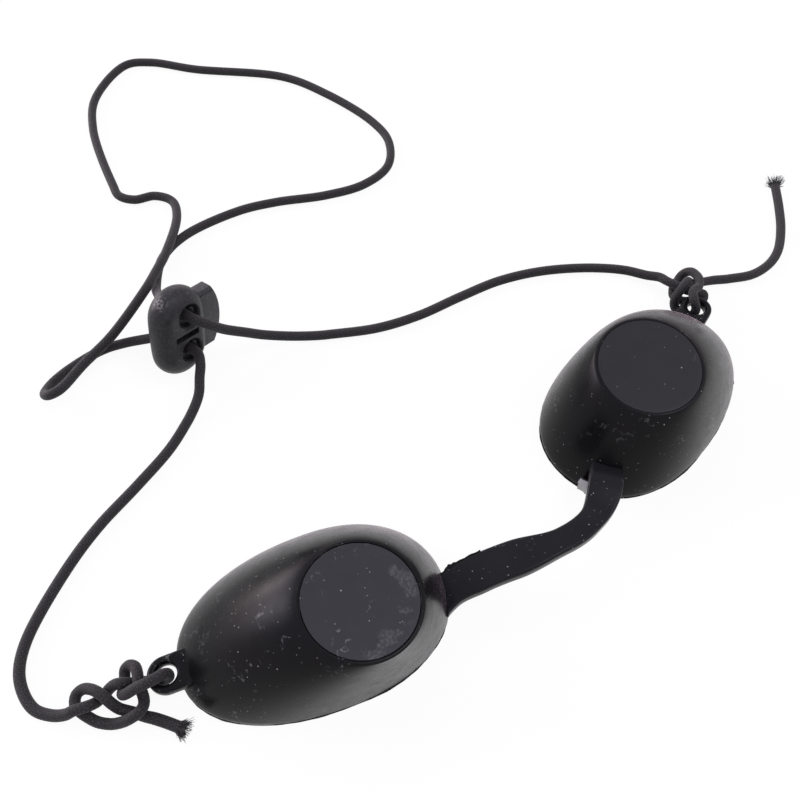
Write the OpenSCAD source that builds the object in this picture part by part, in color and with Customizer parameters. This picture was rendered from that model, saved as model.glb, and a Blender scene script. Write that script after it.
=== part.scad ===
// Laser eye shields for a patient: two opaque moulded eye cups joined by a nose strap,
// worn on a thin elastic cord that a sprung cord lock shortens.
// The cups lie on their rims on z = 0 with their fronts up. X runs from the left cup to the
// right one, and the brow side is towards -Y.

/* [Eye cups] */
// Distance of the left cup's middle from the nose centre line
left_cup_offset = 38.3; // [37:0.2:41]
// Distance of the right cup's middle from the nose centre line
right_cup_offset = 38.5; // [37:0.2:41]
// Place of the left cup's middle along Y
left_cup_back = 0.1; // [-1:0.1:2]
// Place of the right cup's middle along Y
right_cup_back = -0.5; // [-1:0.1:2]
// Turn of the left cup's long axis, in degrees
left_cup_toe = 15; // [10:1:20]
// Turn of the right cup's long axis, in degrees
right_cup_toe = 12.5; // [10:0.5:20]
// Rim reach towards the nose
rim_nose = 22.5; // [21:0.5:24]
// Rim reach towards the ear
rim_ear = 27.5; // [26:0.5:30]
// Rim reach towards the brow
rim_brow = 16; // [15:0.5:18]
// Rim reach towards the cheek
rim_cheek = 17; // [15.5:0.5:19]
// Straight skirt above the rim's edge
skirt_height = 1.5; // [1:0.25:2.5]
// Height of the middle of the cup's front
front_height = 20.5; // [18:0.5:24]
// Thickness of the cup's side wall
cup_wall = 1.8; // [1.2:0.1:2.2]
// Slope of the front down towards the nose, as a ratio
front_slope_nose = 0.09; // [0.04:0.01:0.14]
// Slope of the front down towards the brow, as a ratio
front_slope_brow = 0.10; // [0.04:0.01:0.14]

/* [Front discs] */
// Radius of the round disc set in each cup's front
disc_radius = 9.6; // [9:0.1:10.5]
// Thickness of the disc
disc_thickness = 1.6; // [1.2:0.1:2]
// Clearance round the disc in its seat
disc_gap = 0.25; // [0.1:0.05:0.3]
// Width of the lip round the seat
seat_lip = 0.6; // [0.5:0.1:1]
// Thickness of the ledge that the disc lies on
ledge_thickness = 1.2; // [1:0.1:1.6]
// Radius of the window behind the disc
window_radius = 7.5; // [6:0.25:8]
// Place of the left disc from the cup's middle, towards the nose
left_disc_nose = 4.8; // [3:0.2:6]
// Place of the left disc from the cup's middle, towards the brow
left_disc_brow = 6; // [1:0.2:6.4]
// Place of the right disc from the cup's middle, towards the nose
right_disc_nose = 3.2; // [2:0.2:6]
// Place of the right disc from the cup's middle, towards the brow
right_disc_brow = 0.6; // [0:0.2:6]

/* [Inner shields] */
// Thickness of the metal shield inside each cup
shield_thickness = 0.5; // [0.4:0.05:0.7]
// Clearance between the shield and the cup
shield_gap = 0.1; // [0.05:0.05:0.15]
// Height of the shield's lower edge above the rim
shield_lift = 1; // [0.8:0.1:1.5]
// Width of the tab that shows at the rim's nose end
tab_width = 3; // [2:0.25:4]
// Reach of the tab past the cup's rim
tab_reach = 1; // [0.5:0.1:1.5]

/* [Cord ears] */
// Radius of the ear's round end
ear_radius = 3.3; // [3.1:0.1:4]
// Radius of the cord hole
ear_hole_radius = 1.9; // [1.6:0.1:2]
// Thickness of the ear
ear_thickness = 2.4; // [2:0.1:3]
// Height of the ear's underside, room for the cord
ear_lift = 2.2; // [2.2:0.1:3]
// Distance of the hole's middle past the rim's ear end
ear_hole_out = 1.8; // [1.3:0.1:2.2]
// Turn of the right ear about its cup, in degrees
right_ear_turn = 7; // [0:1:10]

/* [Nose strap] */
// Width of the strap at the left cup
strap_width_left = 6.9; // [5:0.1:8]
// Width of the strap at the right cup
strap_width_right = 4.8; // [4:0.1:8]
// Share of the left half over which the strap keeps its width
strap_taper_start = 0.35; // [0.2:0.05:0.5]
// Share of the whole strap over which it narrows
strap_taper_run = 0.25; // [0.1:0.05:0.4]
// Thickness of the strap
strap_thickness = 2.6; // [2:0.1:3.4]
// Height of the strap's top at the cups
strap_low = 6; // [5:0.25:8]
// Height of the strap's top over the nose
strap_high = 9; // [8:0.25:12]
// Bow of the strap towards the brow
strap_bow = 4.8; // [3:0.3:8]
// Lean of the bow towards the right cup
strap_lean = 4.8; // [0:0.3:6]
// Place of the strap's middle along X
strap_middle = 0.5; // [-1:0.1:1]
// Distance of the strap's roots from its middle
strap_root = 19; // [18.4:0.2:19.4]
// Place of the strap's roots along Y, from the left cup's middle towards the brow
strap_root_brow = 10.2; // [9:0.2:11]

/* [Cord lock] */
// Thickness of the lock along its cord holes
lock_depth = 6.4; // [6.2:0.1:7.4]
// Width of the lock along the button's travel
lock_width = 12.7; // [12.6:0.1:14]
// Length of the lock across its two holes
lock_length = 20.6; // [20.4:0.2:22]
// Radius of the lock's rounded rim
lock_round = 3.1; // [3:0.1:3.1]
// Radius of the lock's cord holes
lock_hole_radius = 2.5; // [2:0.1:2.6]
// Distance of each cord hole from the lock's middle
lock_hole_offset = 4.35; // [4.2:0.05:4.5]
// Place of the cord along the button's travel
lock_cord_place = 1; // [0.5:0.1:1.5]
// Thickness of the button
button_depth = 2.8; // [2.6:0.1:3]
// Half width of the button
button_half = 7.15; // [7:0.05:7.3]
// Reach of the button's crown from the lock's middle
button_reach = 11; // [10.4:0.2:12]
// Radius of the button's crown
crown_radius = 13; // [12:0.5:20]
// Travel of the button
button_travel = 2.4; // [2:0.1:2.6]
// Half width of the button's cord slots
button_slot_half = 1.4; // [1.2:0.1:1.5]
// Clearance round the button in its pocket
button_gap = 0.2; // [0.15:0.05:0.25]
// Length of the guide slot in the lock's front
guide_length = 6.2; // [5.8:0.2:7]
// Width of the guide slot
guide_width = 1.4; // [1.2:0.1:1.6]

/* [Lock spring] */
// Outer diameter of the spring
spring_diameter = 1.6; // [1.4:0.1:1.7]
// Diameter of the spring's wire
spring_wire = 0.25; // [0.2:0.05:0.3]
// Clearance round the spring in its bore
spring_gap = 0.15; // [0.1:0.05:0.2]
// Number of turns
spring_turns = 6; // [5:1:7]

/* [Cord] */
// Diameter of the elastic cord
cord_diameter = 2.1; // [1.8:0.1:2.1]
// Diameter of the cord where the knots draw it tight
knot_cord_diameter = 1.85; // [1.6:0.05:1.85]

/* [Hidden] */

moulding_black = [0.11, 0.11, 0.12];
disc_grey = [0.22, 0.22, 0.24];
steel_grey = [0.62, 0.62, 0.64];
lock_grey = [0.20, 0.20, 0.22];
cord_black = [0.17, 0.16, 0.17];

wall_sides = 40;
wall_steps = 9;
rim_exponent = 2.2;
wall_exponent = 1.2;
round_fn = 64;
fit_overlap = 0.01;
cut_run = 1;
full_turn = 360;
quarter_turn = 90;

left_disc = [left_disc_nose, left_disc_brow];
right_disc = [right_disc_nose, right_disc_brow];
seat_radius = disc_radius + disc_gap;
front_radius = seat_radius + seat_lip;
front_thickness = disc_thickness + ledge_thickness;
tilt_nose = atan(front_slope_nose);
tilt_brow = atan(front_slope_brow);

strap_corner = 0.8;
strap_steps = 20;
strap_overrun = 1.16;
strap_low_side = strap_corner - strap_thickness;

lock_turn = -73;
lock_rise = -6;
lock_roll = -15;
lock_place = [-29.8, 67.1, 10.5];
lock_round_fn = 40;
lock_edge_fn = 20;
pocket_bottom = -4.1;
pocket_half_depth = button_depth / 2 + button_gap;
tongue_end = pocket_bottom + button_gap + button_travel;
spring_bore_end = 3.2;
spring_steps = 10;
spring_sides = 6;
rib_clearance = 0.5;
cord_sides = 8;

// Where the cord lies. The stretches meet inside the lock, half way through its holes.
lower_front = [-28.5, 62.2, 6.5];
lower_middle = [-29.8, 66.6, 6.1];
lower_back = [-31.1, 71, 5.6];
upper_front = [-26.6, 63.7, 14.9];
upper_middle = [-27.9, 68.1, 14.4];
upper_back = [-29.3, 72.5, 13.9];
left_run_route = [
    [-83.7, 12.5, 2.3], [-85.7, 14.1, 1.4], [-87.7, 16.9, 1.05], [-88.1, 20.5, 1.05],
    [-87.1, 24.6, 1.05], [-83.6, 29.2, 1.05], [-71.8, 37.4, 1.05], [-63.2, 41.7, 1.05],
    [-53.1, 45.2, 1.05], [-43.8, 48.8, 1.05], [-37, 52.9, 1.1], [-32.8, 55.9, 2.4],
    [-30.8, 58.3, 4.3], [-29.3, 60, 5.9], lower_front, lower_middle];
back_loop_route = [
    lower_middle, lower_back, [-34.3, 74.1, 3.7], [-39.2, 78, 1.6], [-43.5, 79.5, 1.05],
    [-54, 78.5, 1.05], [-56.9, 77, 1.6], [-58.5, 74.5, 3.2], [-57.7, 72.3, 5],
    [-55.5, 72, 5.4], [-49, 75.5, 4.6], [-40.5, 79, 4.4], [-29.4, 83.7, 7], [-24.9, 87.6, 6.2],
    [-19.5, 93, 4.8], [-11, 104.5, 1.9], [-9.3, 110.4, 1.05], [-11.8, 114.4, 1.05],
    [-16.4, 116.2, 1.05], [-18.8, 119.6, 1.05], [-18.3, 124, 1.05], [-13, 145.5, 1.05],
    [-6.6, 156.7, 1.05], [6.1, 164, 1.05], [12, 161, 1.05], [20.5, 151, 1.05],
    [37.9, 134, 1.05], [43.5, 120.9, 1.05], [46.8, 104.7, 1.05], [45.8, 96, 1.05],
    [40.1, 88.7, 1.05], [31.5, 87, 1.05], [22, 89.5, 1.05], [10.7, 94.9, 1.05],
    [1.6, 97.8, 1.05], [-12.9, 98.3, 1.05], [-20.2, 94.8, 1.6], [-26.1, 86.1, 3.7],
    [-27.7, 80.3, 7.4], upper_back, upper_middle];
right_run_route = [
    upper_middle, upper_front, [-25.6, 62.1, 14.9], [-24.3, 61.3, 13.7], [-22.1, 60.9, 11.2],
    [-17.8, 60.3, 7.4], [-14, 59.5, 4.4], [-7.9, 57, 1.8], [-2.2, 53.9, 1.05],
    [7.9, 48.7, 1.05], [17.5, 46, 1.05], [28.1, 44.7, 1.05], [38.5, 43, 1.05],
    [48.7, 39.1, 1.05], [58.7, 32.7, 1.05], [63.5, 28, 1.3], [65.9, 23.7, 1.9],
    [67.3, 21.1, 2.6]];
left_knot_route = [
    [-83.7, 12.5, 2.3], [-82.3, 11.9, 3.2], [-81, 11.4, 3.4], [-79.9, 11.2, 3],
    [-78.8, 11.4, 1.9], [-77.8, 11.8, 1.1], [-76.7, 12.1, 1.1], [-75.6, 12.1, 2],
    [-74.5, 11.7, 3.1], [-73.5, 11.1, 3.4], [-72.4, 10.7, 2.4], [-71.5, 10.4, 1.3],
    [-70.3, 9.9, 1.05], [-68.6, 8.7, 1.05], [-67.1, 7.9, 1.5], [-66.4, 7.5, 2.9],
    [-66.4, 7.5, 4.4], [-67.2, 7.4, 5.6], [-68.7, 7.4, 6], [-70.3, 7.6, 6], [-71.5, 8, 5.6],
    [-72.7, 8.4, 4.8], [-73.7, 8.9, 3.7], [-74.3, 9.7, 2.4], [-74, 10.7, 1.2],
    [-73.4, 11.7, 1.05], [-72.7, 12.7, 1.1], [-72, 13.6, 1.6], [-71, 13.5, 2.4],
    [-70.3, 12.4, 3.1], [-70.5, 11, 3.5], [-71.1, 9.4, 3.5], [-71.4, 8, 2.9],
    [-71.7, 6.8, 2.6], [-72.2, 5.8, 2.8], [-73.3, 5, 3.3], [-74.8, 5, 3.1], [-76.5, 5.7, 2],
    [-78.3, 6.9, 1.1], [-79.9, 8.5, 1.05], [-80.9, 10.3, 1.05], [-81.6, 12.1, 1.05],
    [-81.7, 13.7, 1.05], [-80.8, 14.8, 1.4], [-79.4, 14.7, 2.1], [-78.2, 13.5, 2.9],
    [-77.4, 12, 3.4], [-76.9, 10.6, 3.2], [-76.5, 9.4, 2.1], [-75.9, 8.3, 1.1],
    [-75.1, 7.3, 1.05], [-74.1, 6.1, 1.05], [-73.1, 4.7, 1.05], [-71.9, 3.3, 1.05]];
right_knot_route = [
    [67.3, 21.1, 2.6], [67.3, 19.1, 3.2], [67.7, 17.3, 3.4], [68.3, 15.7, 3.2],
    [69.3, 14.5, 2.8], [70.3, 13.5, 2.6], [71.3, 12.7, 2.4], [72.1, 11.9, 1.9],
    [71.5, 11.3, 1.3], [70.3, 11.7, 1.05], [69, 12.8, 1.05], [67.9, 13.5, 1.05],
    [67.1, 14.7, 1.05], [67.1, 16.1, 1.05], [67.9, 17.1, 1.05], [69.3, 18.1, 1.05],
    [71.1, 18.7, 1.1], [72.1, 18.9, 1.8], [72.9, 18.5, 2.8], [73.3, 17.5, 3.7],
    [72.9, 15.7, 4.4], [71.9, 14.1, 4.9], [69.9, 12.7, 5.3], [68.4, 12.5, 5.8],
    [66.9, 11.8, 6.1], [66.2, 10.9, 6.1], [65.8, 10.1, 5.7], [65.9, 9.3, 4.4],
    [65.8, 9.1, 2.8], [65.4, 9.8, 1.5], [65.3, 10.8, 1.05], [64.9, 12.1, 1.05],
    [64.7, 13.4, 1.3], [64.9, 14.2, 2.4], [65.5, 14.5, 3.7], [66.7, 14.7, 4.7],
    [68.3, 15.1, 5.2], [69.6, 15.5, 4.9], [70.9, 15.7, 3.5], [72.3, 15.6, 2.2],
    [74, 15.1, 1.7], [75.7, 14.5, 1.5], [77.7, 13.7, 1.3]];
left_tail_route = [
    [-71.9, 3.3, 1.05], [-70.5, 1.4, 1.05], [-69.1, -0.7, 1.05]];
right_tail_route = [
    [77.7, 13.7, 1.3], [81, 12, 1.05], [86.2, 9.7, 1.05], [91.6, 9.5, 1.05], [96.5, 11, 1.05],
    [102.4, 15.1, 1.05], [108, 20.5, 1.05], [113, 26, 1.05]];

// Signed power, for rounded outlines
function signed_power(v, e) = sign(v) * pow(abs(v), e);

// Point of the rim's outline at angle a, drawn in by inset
function rim_point(a, inset) =
    let (c = cos(a), s = sin(a), e = 2 / rim_exponent)
    [signed_power(c, e) * ((c >= 0 ? rim_nose : rim_ear) - inset),
     signed_power(s, e) * ((s >= 0 ? rim_brow : rim_cheek) - inset)];

// Height of the front's plane at point p, for a disc at place d
function front_z(p, d) =
    front_height - front_slope_nose * (p[0] - d[0]) - front_slope_brow * (p[1] - d[1]);

// Point of the front's edge at angle a, drawn in by inset
function front_point(a, d, inset) = d + (front_radius - inset) * [cos(a), sin(a)];

// Point of the side wall at angle a and rise t from 0 at the skirt to 90 at the front
function wall_point(a, t, d, inset, drop) =
    let (e = 2 / wall_exponent, w = pow(cos(t), e), s = pow(sin(t), e))
    let (low = rim_point(a, inset), high = front_point(a, d, inset))
    let (top = front_z(high, d) - drop)
    [each (high + (low - high) * w), skirt_height + (top - skirt_height) * s];

// Rings of a closed cup shape, from its foot at height foot up to its front
function cup_rings(d, inset, drop, foot) = [
    [for (k = [0:wall_sides - 1]) [each rim_point(full_turn * k / wall_sides, inset), foot]],
    for (i = [0:wall_steps])
        [for (k = [0:wall_sides - 1])
            wall_point(full_turn * k / wall_sides, quarter_turn * i / wall_steps, d, inset, drop)]];

// Solid skinned over rings of equal count, closed at both ends
module skin(rings) {
    n = len(rings[0]);
    m = len(rings);
    last = (m - 1) * n;
    polyhedron(
        points = [for (r = rings) each r],
        faces = [
            [for (k = [0:n - 1]) k],
            [for (k = [n - 1:-1:0]) last + k],
            for (i = [0:m - 2], k = [0:n - 1])
                each [[i * n + k, (i + 1) * n + k, i * n + (k + 1) % n],
                      [i * n + (k + 1) % n, (i + 1) * n + k, (i + 1) * n + (k + 1) % n]]]);
}

// Closed cup shape, the same for the outside, the hollow and the shield
module cup_form(d, inset, drop, foot) {
    skin(cup_rings(d, inset, drop, foot));
}

// Places a cup's own shapes at a cup's place, with the nose end towards the centre line
module at_right_cup() {
    translate([right_cup_offset, right_cup_back, 0])
        rotate([0, 0, 180 + right_cup_toe])
            children();
}

module at_left_cup() {
    mirror([1, 0, 0])
        translate([left_cup_offset, left_cup_back, 0])
            rotate([0, 0, 180 + left_cup_toe])
                children();
}

// Stands at the middle of the front's plane with +Z out of the disc
module at_front(d) {
    translate([d[0], d[1], front_height])
        rotate([-tilt_brow, tilt_nose, 0])
            children();
}

// Flat ear at the cup's outer end, without its hole
module ear_plate() {
    hole_x = -(rim_ear + ear_hole_out);
    translate([0, 0, ear_lift]) {
        translate([hole_x, 0, 0])
            cylinder(r = ear_radius, h = ear_thickness, $fn = round_fn);
        translate([hole_x, -ear_radius, 0])
            cube([ear_hole_out + ear_radius, 2 * ear_radius, ear_thickness]);
    }
}

// One eye cup with its ear, disc seat, window and the notch for the shield's tab
module eyecup(d, ear_turn) {
    difference() {
        union() {
            cup_form(d, 0, 0, 0);
            rotate([0, 0, ear_turn])
                ear_plate();
        }
        cup_form(d, cup_wall, front_thickness, -fit_overlap);
        at_front(d) {
            translate([0, 0, -disc_thickness])
                cylinder(r = seat_radius, h = 2 * disc_thickness, $fn = round_fn);
            translate([0, 0, -2 * front_thickness])
                cylinder(r = window_radius, h = 3 * front_thickness, $fn = round_fn);
        }
        rotate([0, 0, ear_turn])
            translate([-(rim_ear + ear_hole_out), 0, 0])
                cylinder(r = ear_hole_radius, h = 4 * ear_thickness, $fn = round_fn);
        tab_box(shield_gap);
    }
}

// Strip that the shield's tab fills, grown by gap
module tab_box(gap) {
    inner = rim_nose - cup_wall - shield_gap - shield_thickness;
    reach = rim_nose + tab_reach;
    translate([inner, -tab_width / 2 - gap, shield_lift - 2 * gap])
        cube([reach + 2 * gap - inner, tab_width + 2 * gap, shield_thickness + 3 * gap]);
}

// Thin metal shield that lines the cup and closes its front from inside
module inner_shield(d) {
    near = cup_wall + shield_gap;
    far = near + shield_thickness;
    over = front_thickness + shield_gap;
    difference() {
        cup_form(d, near, over, shield_lift);
        cup_form(d, far, over + shield_thickness, shield_lift - cut_run);
    }
    tab_box(0);
}

// Disc set in the cup's front
module front_disc(d) {
    at_front(d)
        translate([0, 0, -disc_thickness])
            cylinder(r = disc_radius, h = disc_thickness, $fn = round_fn);
}

module left_eyecup() {
    color(moulding_black) at_left_cup() eyecup(left_disc, 0);
}

module right_eyecup() {
    color(moulding_black) at_right_cup() eyecup(right_disc, right_ear_turn);
}

module left_inner_shield() {
    color(steel_grey) at_left_cup() inner_shield(left_disc);
}

module right_inner_shield() {
    color(steel_grey) at_right_cup() inner_shield(right_disc);
}

module left_front_disc() {
    color(disc_grey) at_left_cup() front_disc(left_disc);
}

module right_front_disc() {
    color(disc_grey) at_right_cup() front_disc(right_disc);
}

// Middle of the strap's top at share t, from -1 at the left root to 1 at the right one
function strap_point(t) = [
    strap_middle + strap_root * t,
    left_cup_back - strap_root_brow - (strap_bow + strap_lean * t) * (1 - t * t),
    strap_high - (strap_high - strap_low) * t * t];

// Heading of the strap in plan at share t
function strap_heading(t) =
    atan2(2 * strap_bow * t - strap_lean * (1 - 3 * t * t), strap_root);

// Width of the strap at share t
function strap_width(t) =
    let (q = min(max((t + strap_taper_start) / (2 * strap_taper_run), 0), 1))
    strap_width_left + (strap_width_right - strap_width_left) * q;

// Section of the strap at width w, across it and down from its top
function strap_section(w) =
    let (edge = w / 2, flat = w / 2 - strap_corner)
    [[edge, -strap_corner], [flat, 0], [-flat, 0], [-edge, -strap_corner],
     [-edge, strap_low_side], [-flat, -strap_thickness],
     [flat, -strap_thickness], [edge, strap_low_side]];

// Bowed strap over the nose, cut to the walls of the two cups
module nose_bridge() {
    color(moulding_black)
        difference() {
            skin([for (i = [0:strap_steps])
                let (t = strap_overrun * (2 * i / strap_steps - 1))
                let (c = strap_point(t), h = strap_heading(t))
                [for (q = strap_section(strap_width(t))) c + [-q[0] * sin(h), q[0] * cos(h), q[1]]]]);
            at_left_cup() cup_form(left_disc, 0, 0, -cut_run);
            at_right_cup() cup_form(right_disc, 0, 0, -cut_run);
        }
}

// Places the lock's shapes: X along its holes, Y along the button's travel, Z across the holes
module at_lock() {
    translate(lock_place)
        rotate([0, 0, lock_turn])
            rotate([0, lock_rise, 0])
                rotate([lock_roll, 0, 0])
                    children();
}

// Bar along X with a square section of half width h, from y0 to y1
module button_block(h, y0, y1, half_depth) {
    translate([-half_depth, y0, -h])
        cube([2 * half_depth, y1 - y0, 2 * h]);
}

// Round-edged oval body of the lock, without its holes
module lock_shell() {
    tube_place = lock_width / 2 - lock_round;
    spread = lock_length / 2 - lock_width / 2;
    hull()
        for (side = [-1, 1], face = [-1, 1])
            translate([face * (lock_depth / 2 - lock_round), 0, side * spread])
                rotate([0, 90, 0])
                    rotate_extrude($fn = lock_round_fn)
                        translate([tube_place, 0])
                            circle(r = lock_round, $fn = lock_edge_fn);
}

module cord_lock_body() {
    color(lock_grey)
        at_lock()
            difference() {
                lock_shell();
                button_block(button_half + button_gap, pocket_bottom, lock_width,
                    pocket_half_depth);
                for (side = [-1, 1])
                    translate([0, lock_cord_place, side * lock_hole_offset])
                        rotate([0, 90, 0])
                            cylinder(r = lock_hole_radius, h = 2 * lock_depth, center = true,
                                $fn = round_fn);
                translate([0, -guide_length / 2, -guide_width / 2])
                    cube([lock_depth, guide_length, guide_width]);
            }
}

// Outline of the button in the travel's plane, with its arched crown
module button_outline() {
    intersection() {
        translate([-button_half, tongue_end])
            square([2 * button_half, button_reach - tongue_end]);
        translate([0, button_reach - crown_radius])
            circle(r = crown_radius, $fn = 4 * round_fn);
    }
}

// Slot that the cord keeps to while the button moves across it
module cord_slot() {
    reach = lock_cord_place + button_travel;
    for (y = [lock_cord_place, reach])
        translate([0, y])
            circle(r = button_slot_half, $fn = round_fn);
    translate([-button_slot_half, lock_cord_place])
        square([2 * button_slot_half, button_travel]);
}

module cord_lock_button() {
    rib_length = guide_length - button_travel - 2 * button_gap;
    rib_height = (lock_depth - button_depth) / 2 - rib_clearance;
    color(lock_grey)
        at_lock()
            difference() {
                union() {
                    rotate([90, 0, 90])
                        linear_extrude(button_depth, center = true)
                            mirror([1, 0])
                                button_profile();
                    translate([button_depth / 2 - fit_overlap,
                        guide_length / 2 - button_gap - rib_length,
                        -guide_width / 2 + button_gap])
                        cube([rib_height + fit_overlap, rib_length,
                            guide_width - 2 * button_gap]);
                }
                translate([0, tongue_end - cut_run, 0])
                    rotate([-90, 0, 0])
                        cylinder(d = spring_diameter + 2 * spring_gap,
                            h = spring_bore_end - tongue_end + cut_run, $fn = round_fn);
            }
}

// Button's outline with its two cord slots, drawn with the travel along the first axis
module button_profile() {
    rotate([0, 0, 90])
        difference() {
            button_outline();
            for (side = [-1, 1])
                translate([side * lock_hole_offset, 0])
                    cord_slot();
        }
}

// Heading of the route at point i
function heading(p, i) =
    let (ahead = p[min(i + 1, len(p) - 1)] - p[max(i - 1, 0)])
    ahead / norm(ahead);

// Direction s with its share along the heading t taken out
function carried(s, t) = let (q = s - (s * t) * t) q / norm(q);

// Side directions along a route, carried from ring to ring without a twist
function side_directions(p) = [
    for (i = 0, s = carried([0, 0, 1], heading(p, 0)); i < len(p);
         i = i + 1, s = carried(s, heading(p, i)))
        s];

// Tube of diameter d along a route
module tube(route, d, sides = cord_sides) {
    ups = side_directions(route);
    skin([for (i = [0:len(route) - 1])
        let (u = ups[i], v = cross(heading(route, i), u))
        [for (k = [0:sides - 1])
            let (a = full_turn * (k + 1 / 2) / sides)
            route[i] + d / 2 * (cos(a) * u - sin(a) * v)]]);
}

// Coil spring between the pocket's bottom and the end of the button's bore
module cord_lock_spring() {
    coil_radius = (spring_diameter - spring_wire) / 2;
    y0 = pocket_bottom + spring_wire / 2;
    y1 = spring_bore_end - spring_wire / 2;
    count = spring_turns * spring_steps;
    color(steel_grey)
        at_lock()
            rotate([-90, 0, 0])
                tube([for (i = [0:count])
                    let (a = full_turn * i / spring_steps)
                    [coil_radius * cos(a), coil_radius * sin(a), y0 + (y1 - y0) * i / count]],
                    spring_wire, spring_sides);
}

module cord_left_run() {
    color(cord_black) tube(left_run_route, cord_diameter);
}

module cord_back_loop() {
    color(cord_black) tube(back_loop_route, cord_diameter);
}

module cord_right_run() {
    color(cord_black) tube(right_run_route, cord_diameter);
}

module left_tail() {
    color(cord_black) tube(left_tail_route, cord_diameter);
}

module right_tail() {
    color(cord_black) tube(right_tail_route, cord_diameter);
}

module left_knot() {
    color(cord_black) tube(left_knot_route, knot_cord_diameter);
}

module right_knot() {
    color(cord_black) tube(right_knot_route, knot_cord_diameter);
}

left_eyecup();
right_eyecup();
nose_bridge();
left_front_disc();
right_front_disc();
left_inner_shield();
right_inner_shield();
cord_lock_body();
cord_lock_button();
cord_lock_spring();
cord_left_run();
cord_back_loop();
cord_right_run();
left_knot();
right_knot();
left_tail();
right_tail();
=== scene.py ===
"""Opaque laser eye shields on an elastic cord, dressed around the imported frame.

Sizes are in millimetres in the shields' own frame, and become metres when a mesh is made.
"""

from __future__ import annotations

import logging
import math
import random
from dataclasses import dataclass, field
from enum import Enum
from typing import Iterable, Sequence

import bmesh
import bpy
import numpy as np
from mathutils import Matrix, Vector

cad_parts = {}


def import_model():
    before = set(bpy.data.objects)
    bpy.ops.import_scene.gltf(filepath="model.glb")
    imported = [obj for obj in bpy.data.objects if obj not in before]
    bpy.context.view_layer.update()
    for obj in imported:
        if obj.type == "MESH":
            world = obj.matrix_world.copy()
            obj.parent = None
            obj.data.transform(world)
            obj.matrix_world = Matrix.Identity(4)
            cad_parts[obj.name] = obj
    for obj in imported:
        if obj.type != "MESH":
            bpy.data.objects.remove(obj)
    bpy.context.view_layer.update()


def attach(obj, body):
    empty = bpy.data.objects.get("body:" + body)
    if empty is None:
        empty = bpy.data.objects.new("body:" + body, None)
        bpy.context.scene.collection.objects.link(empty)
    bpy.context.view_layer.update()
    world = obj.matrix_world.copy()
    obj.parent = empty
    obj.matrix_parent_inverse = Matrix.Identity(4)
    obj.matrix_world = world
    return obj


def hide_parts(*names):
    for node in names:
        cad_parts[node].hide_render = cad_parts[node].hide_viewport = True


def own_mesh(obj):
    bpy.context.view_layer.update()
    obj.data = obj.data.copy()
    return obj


LOG = logging.getLogger("eye_shields")
MM = 0.001
WELD = 1e-7
FULL_TURN = 2 * math.pi
QUARTER = np.radians([0, 22, 45, 68, 90])
CORD_REST = 1.05

Point = tuple[float, float, float]
Socket = bpy.types.NodeSocket


class Body(Enum):
    """The bodies that the frame's joint joins."""

    GOGGLES = "goggles"
    BUTTON = "lock_button"


class Slot(Enum):
    """The material slots of the record."""

    MOULDING = "moulding"
    DISC = "front_disc"
    SHIELD = "shield_metal"
    LOCK = "lock_plastic"
    BUTTON = "button_plastic"
    SPRING = "spring_wire"
    CORD = "elastic_cord"


class Side(Enum):
    """The two sides of the goggles, by the sign of their X."""

    LEFT = -1
    RIGHT = 1

    @property
    def label(self) -> str:
        """Name of the side in lower case."""
        return self.name.lower()


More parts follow.
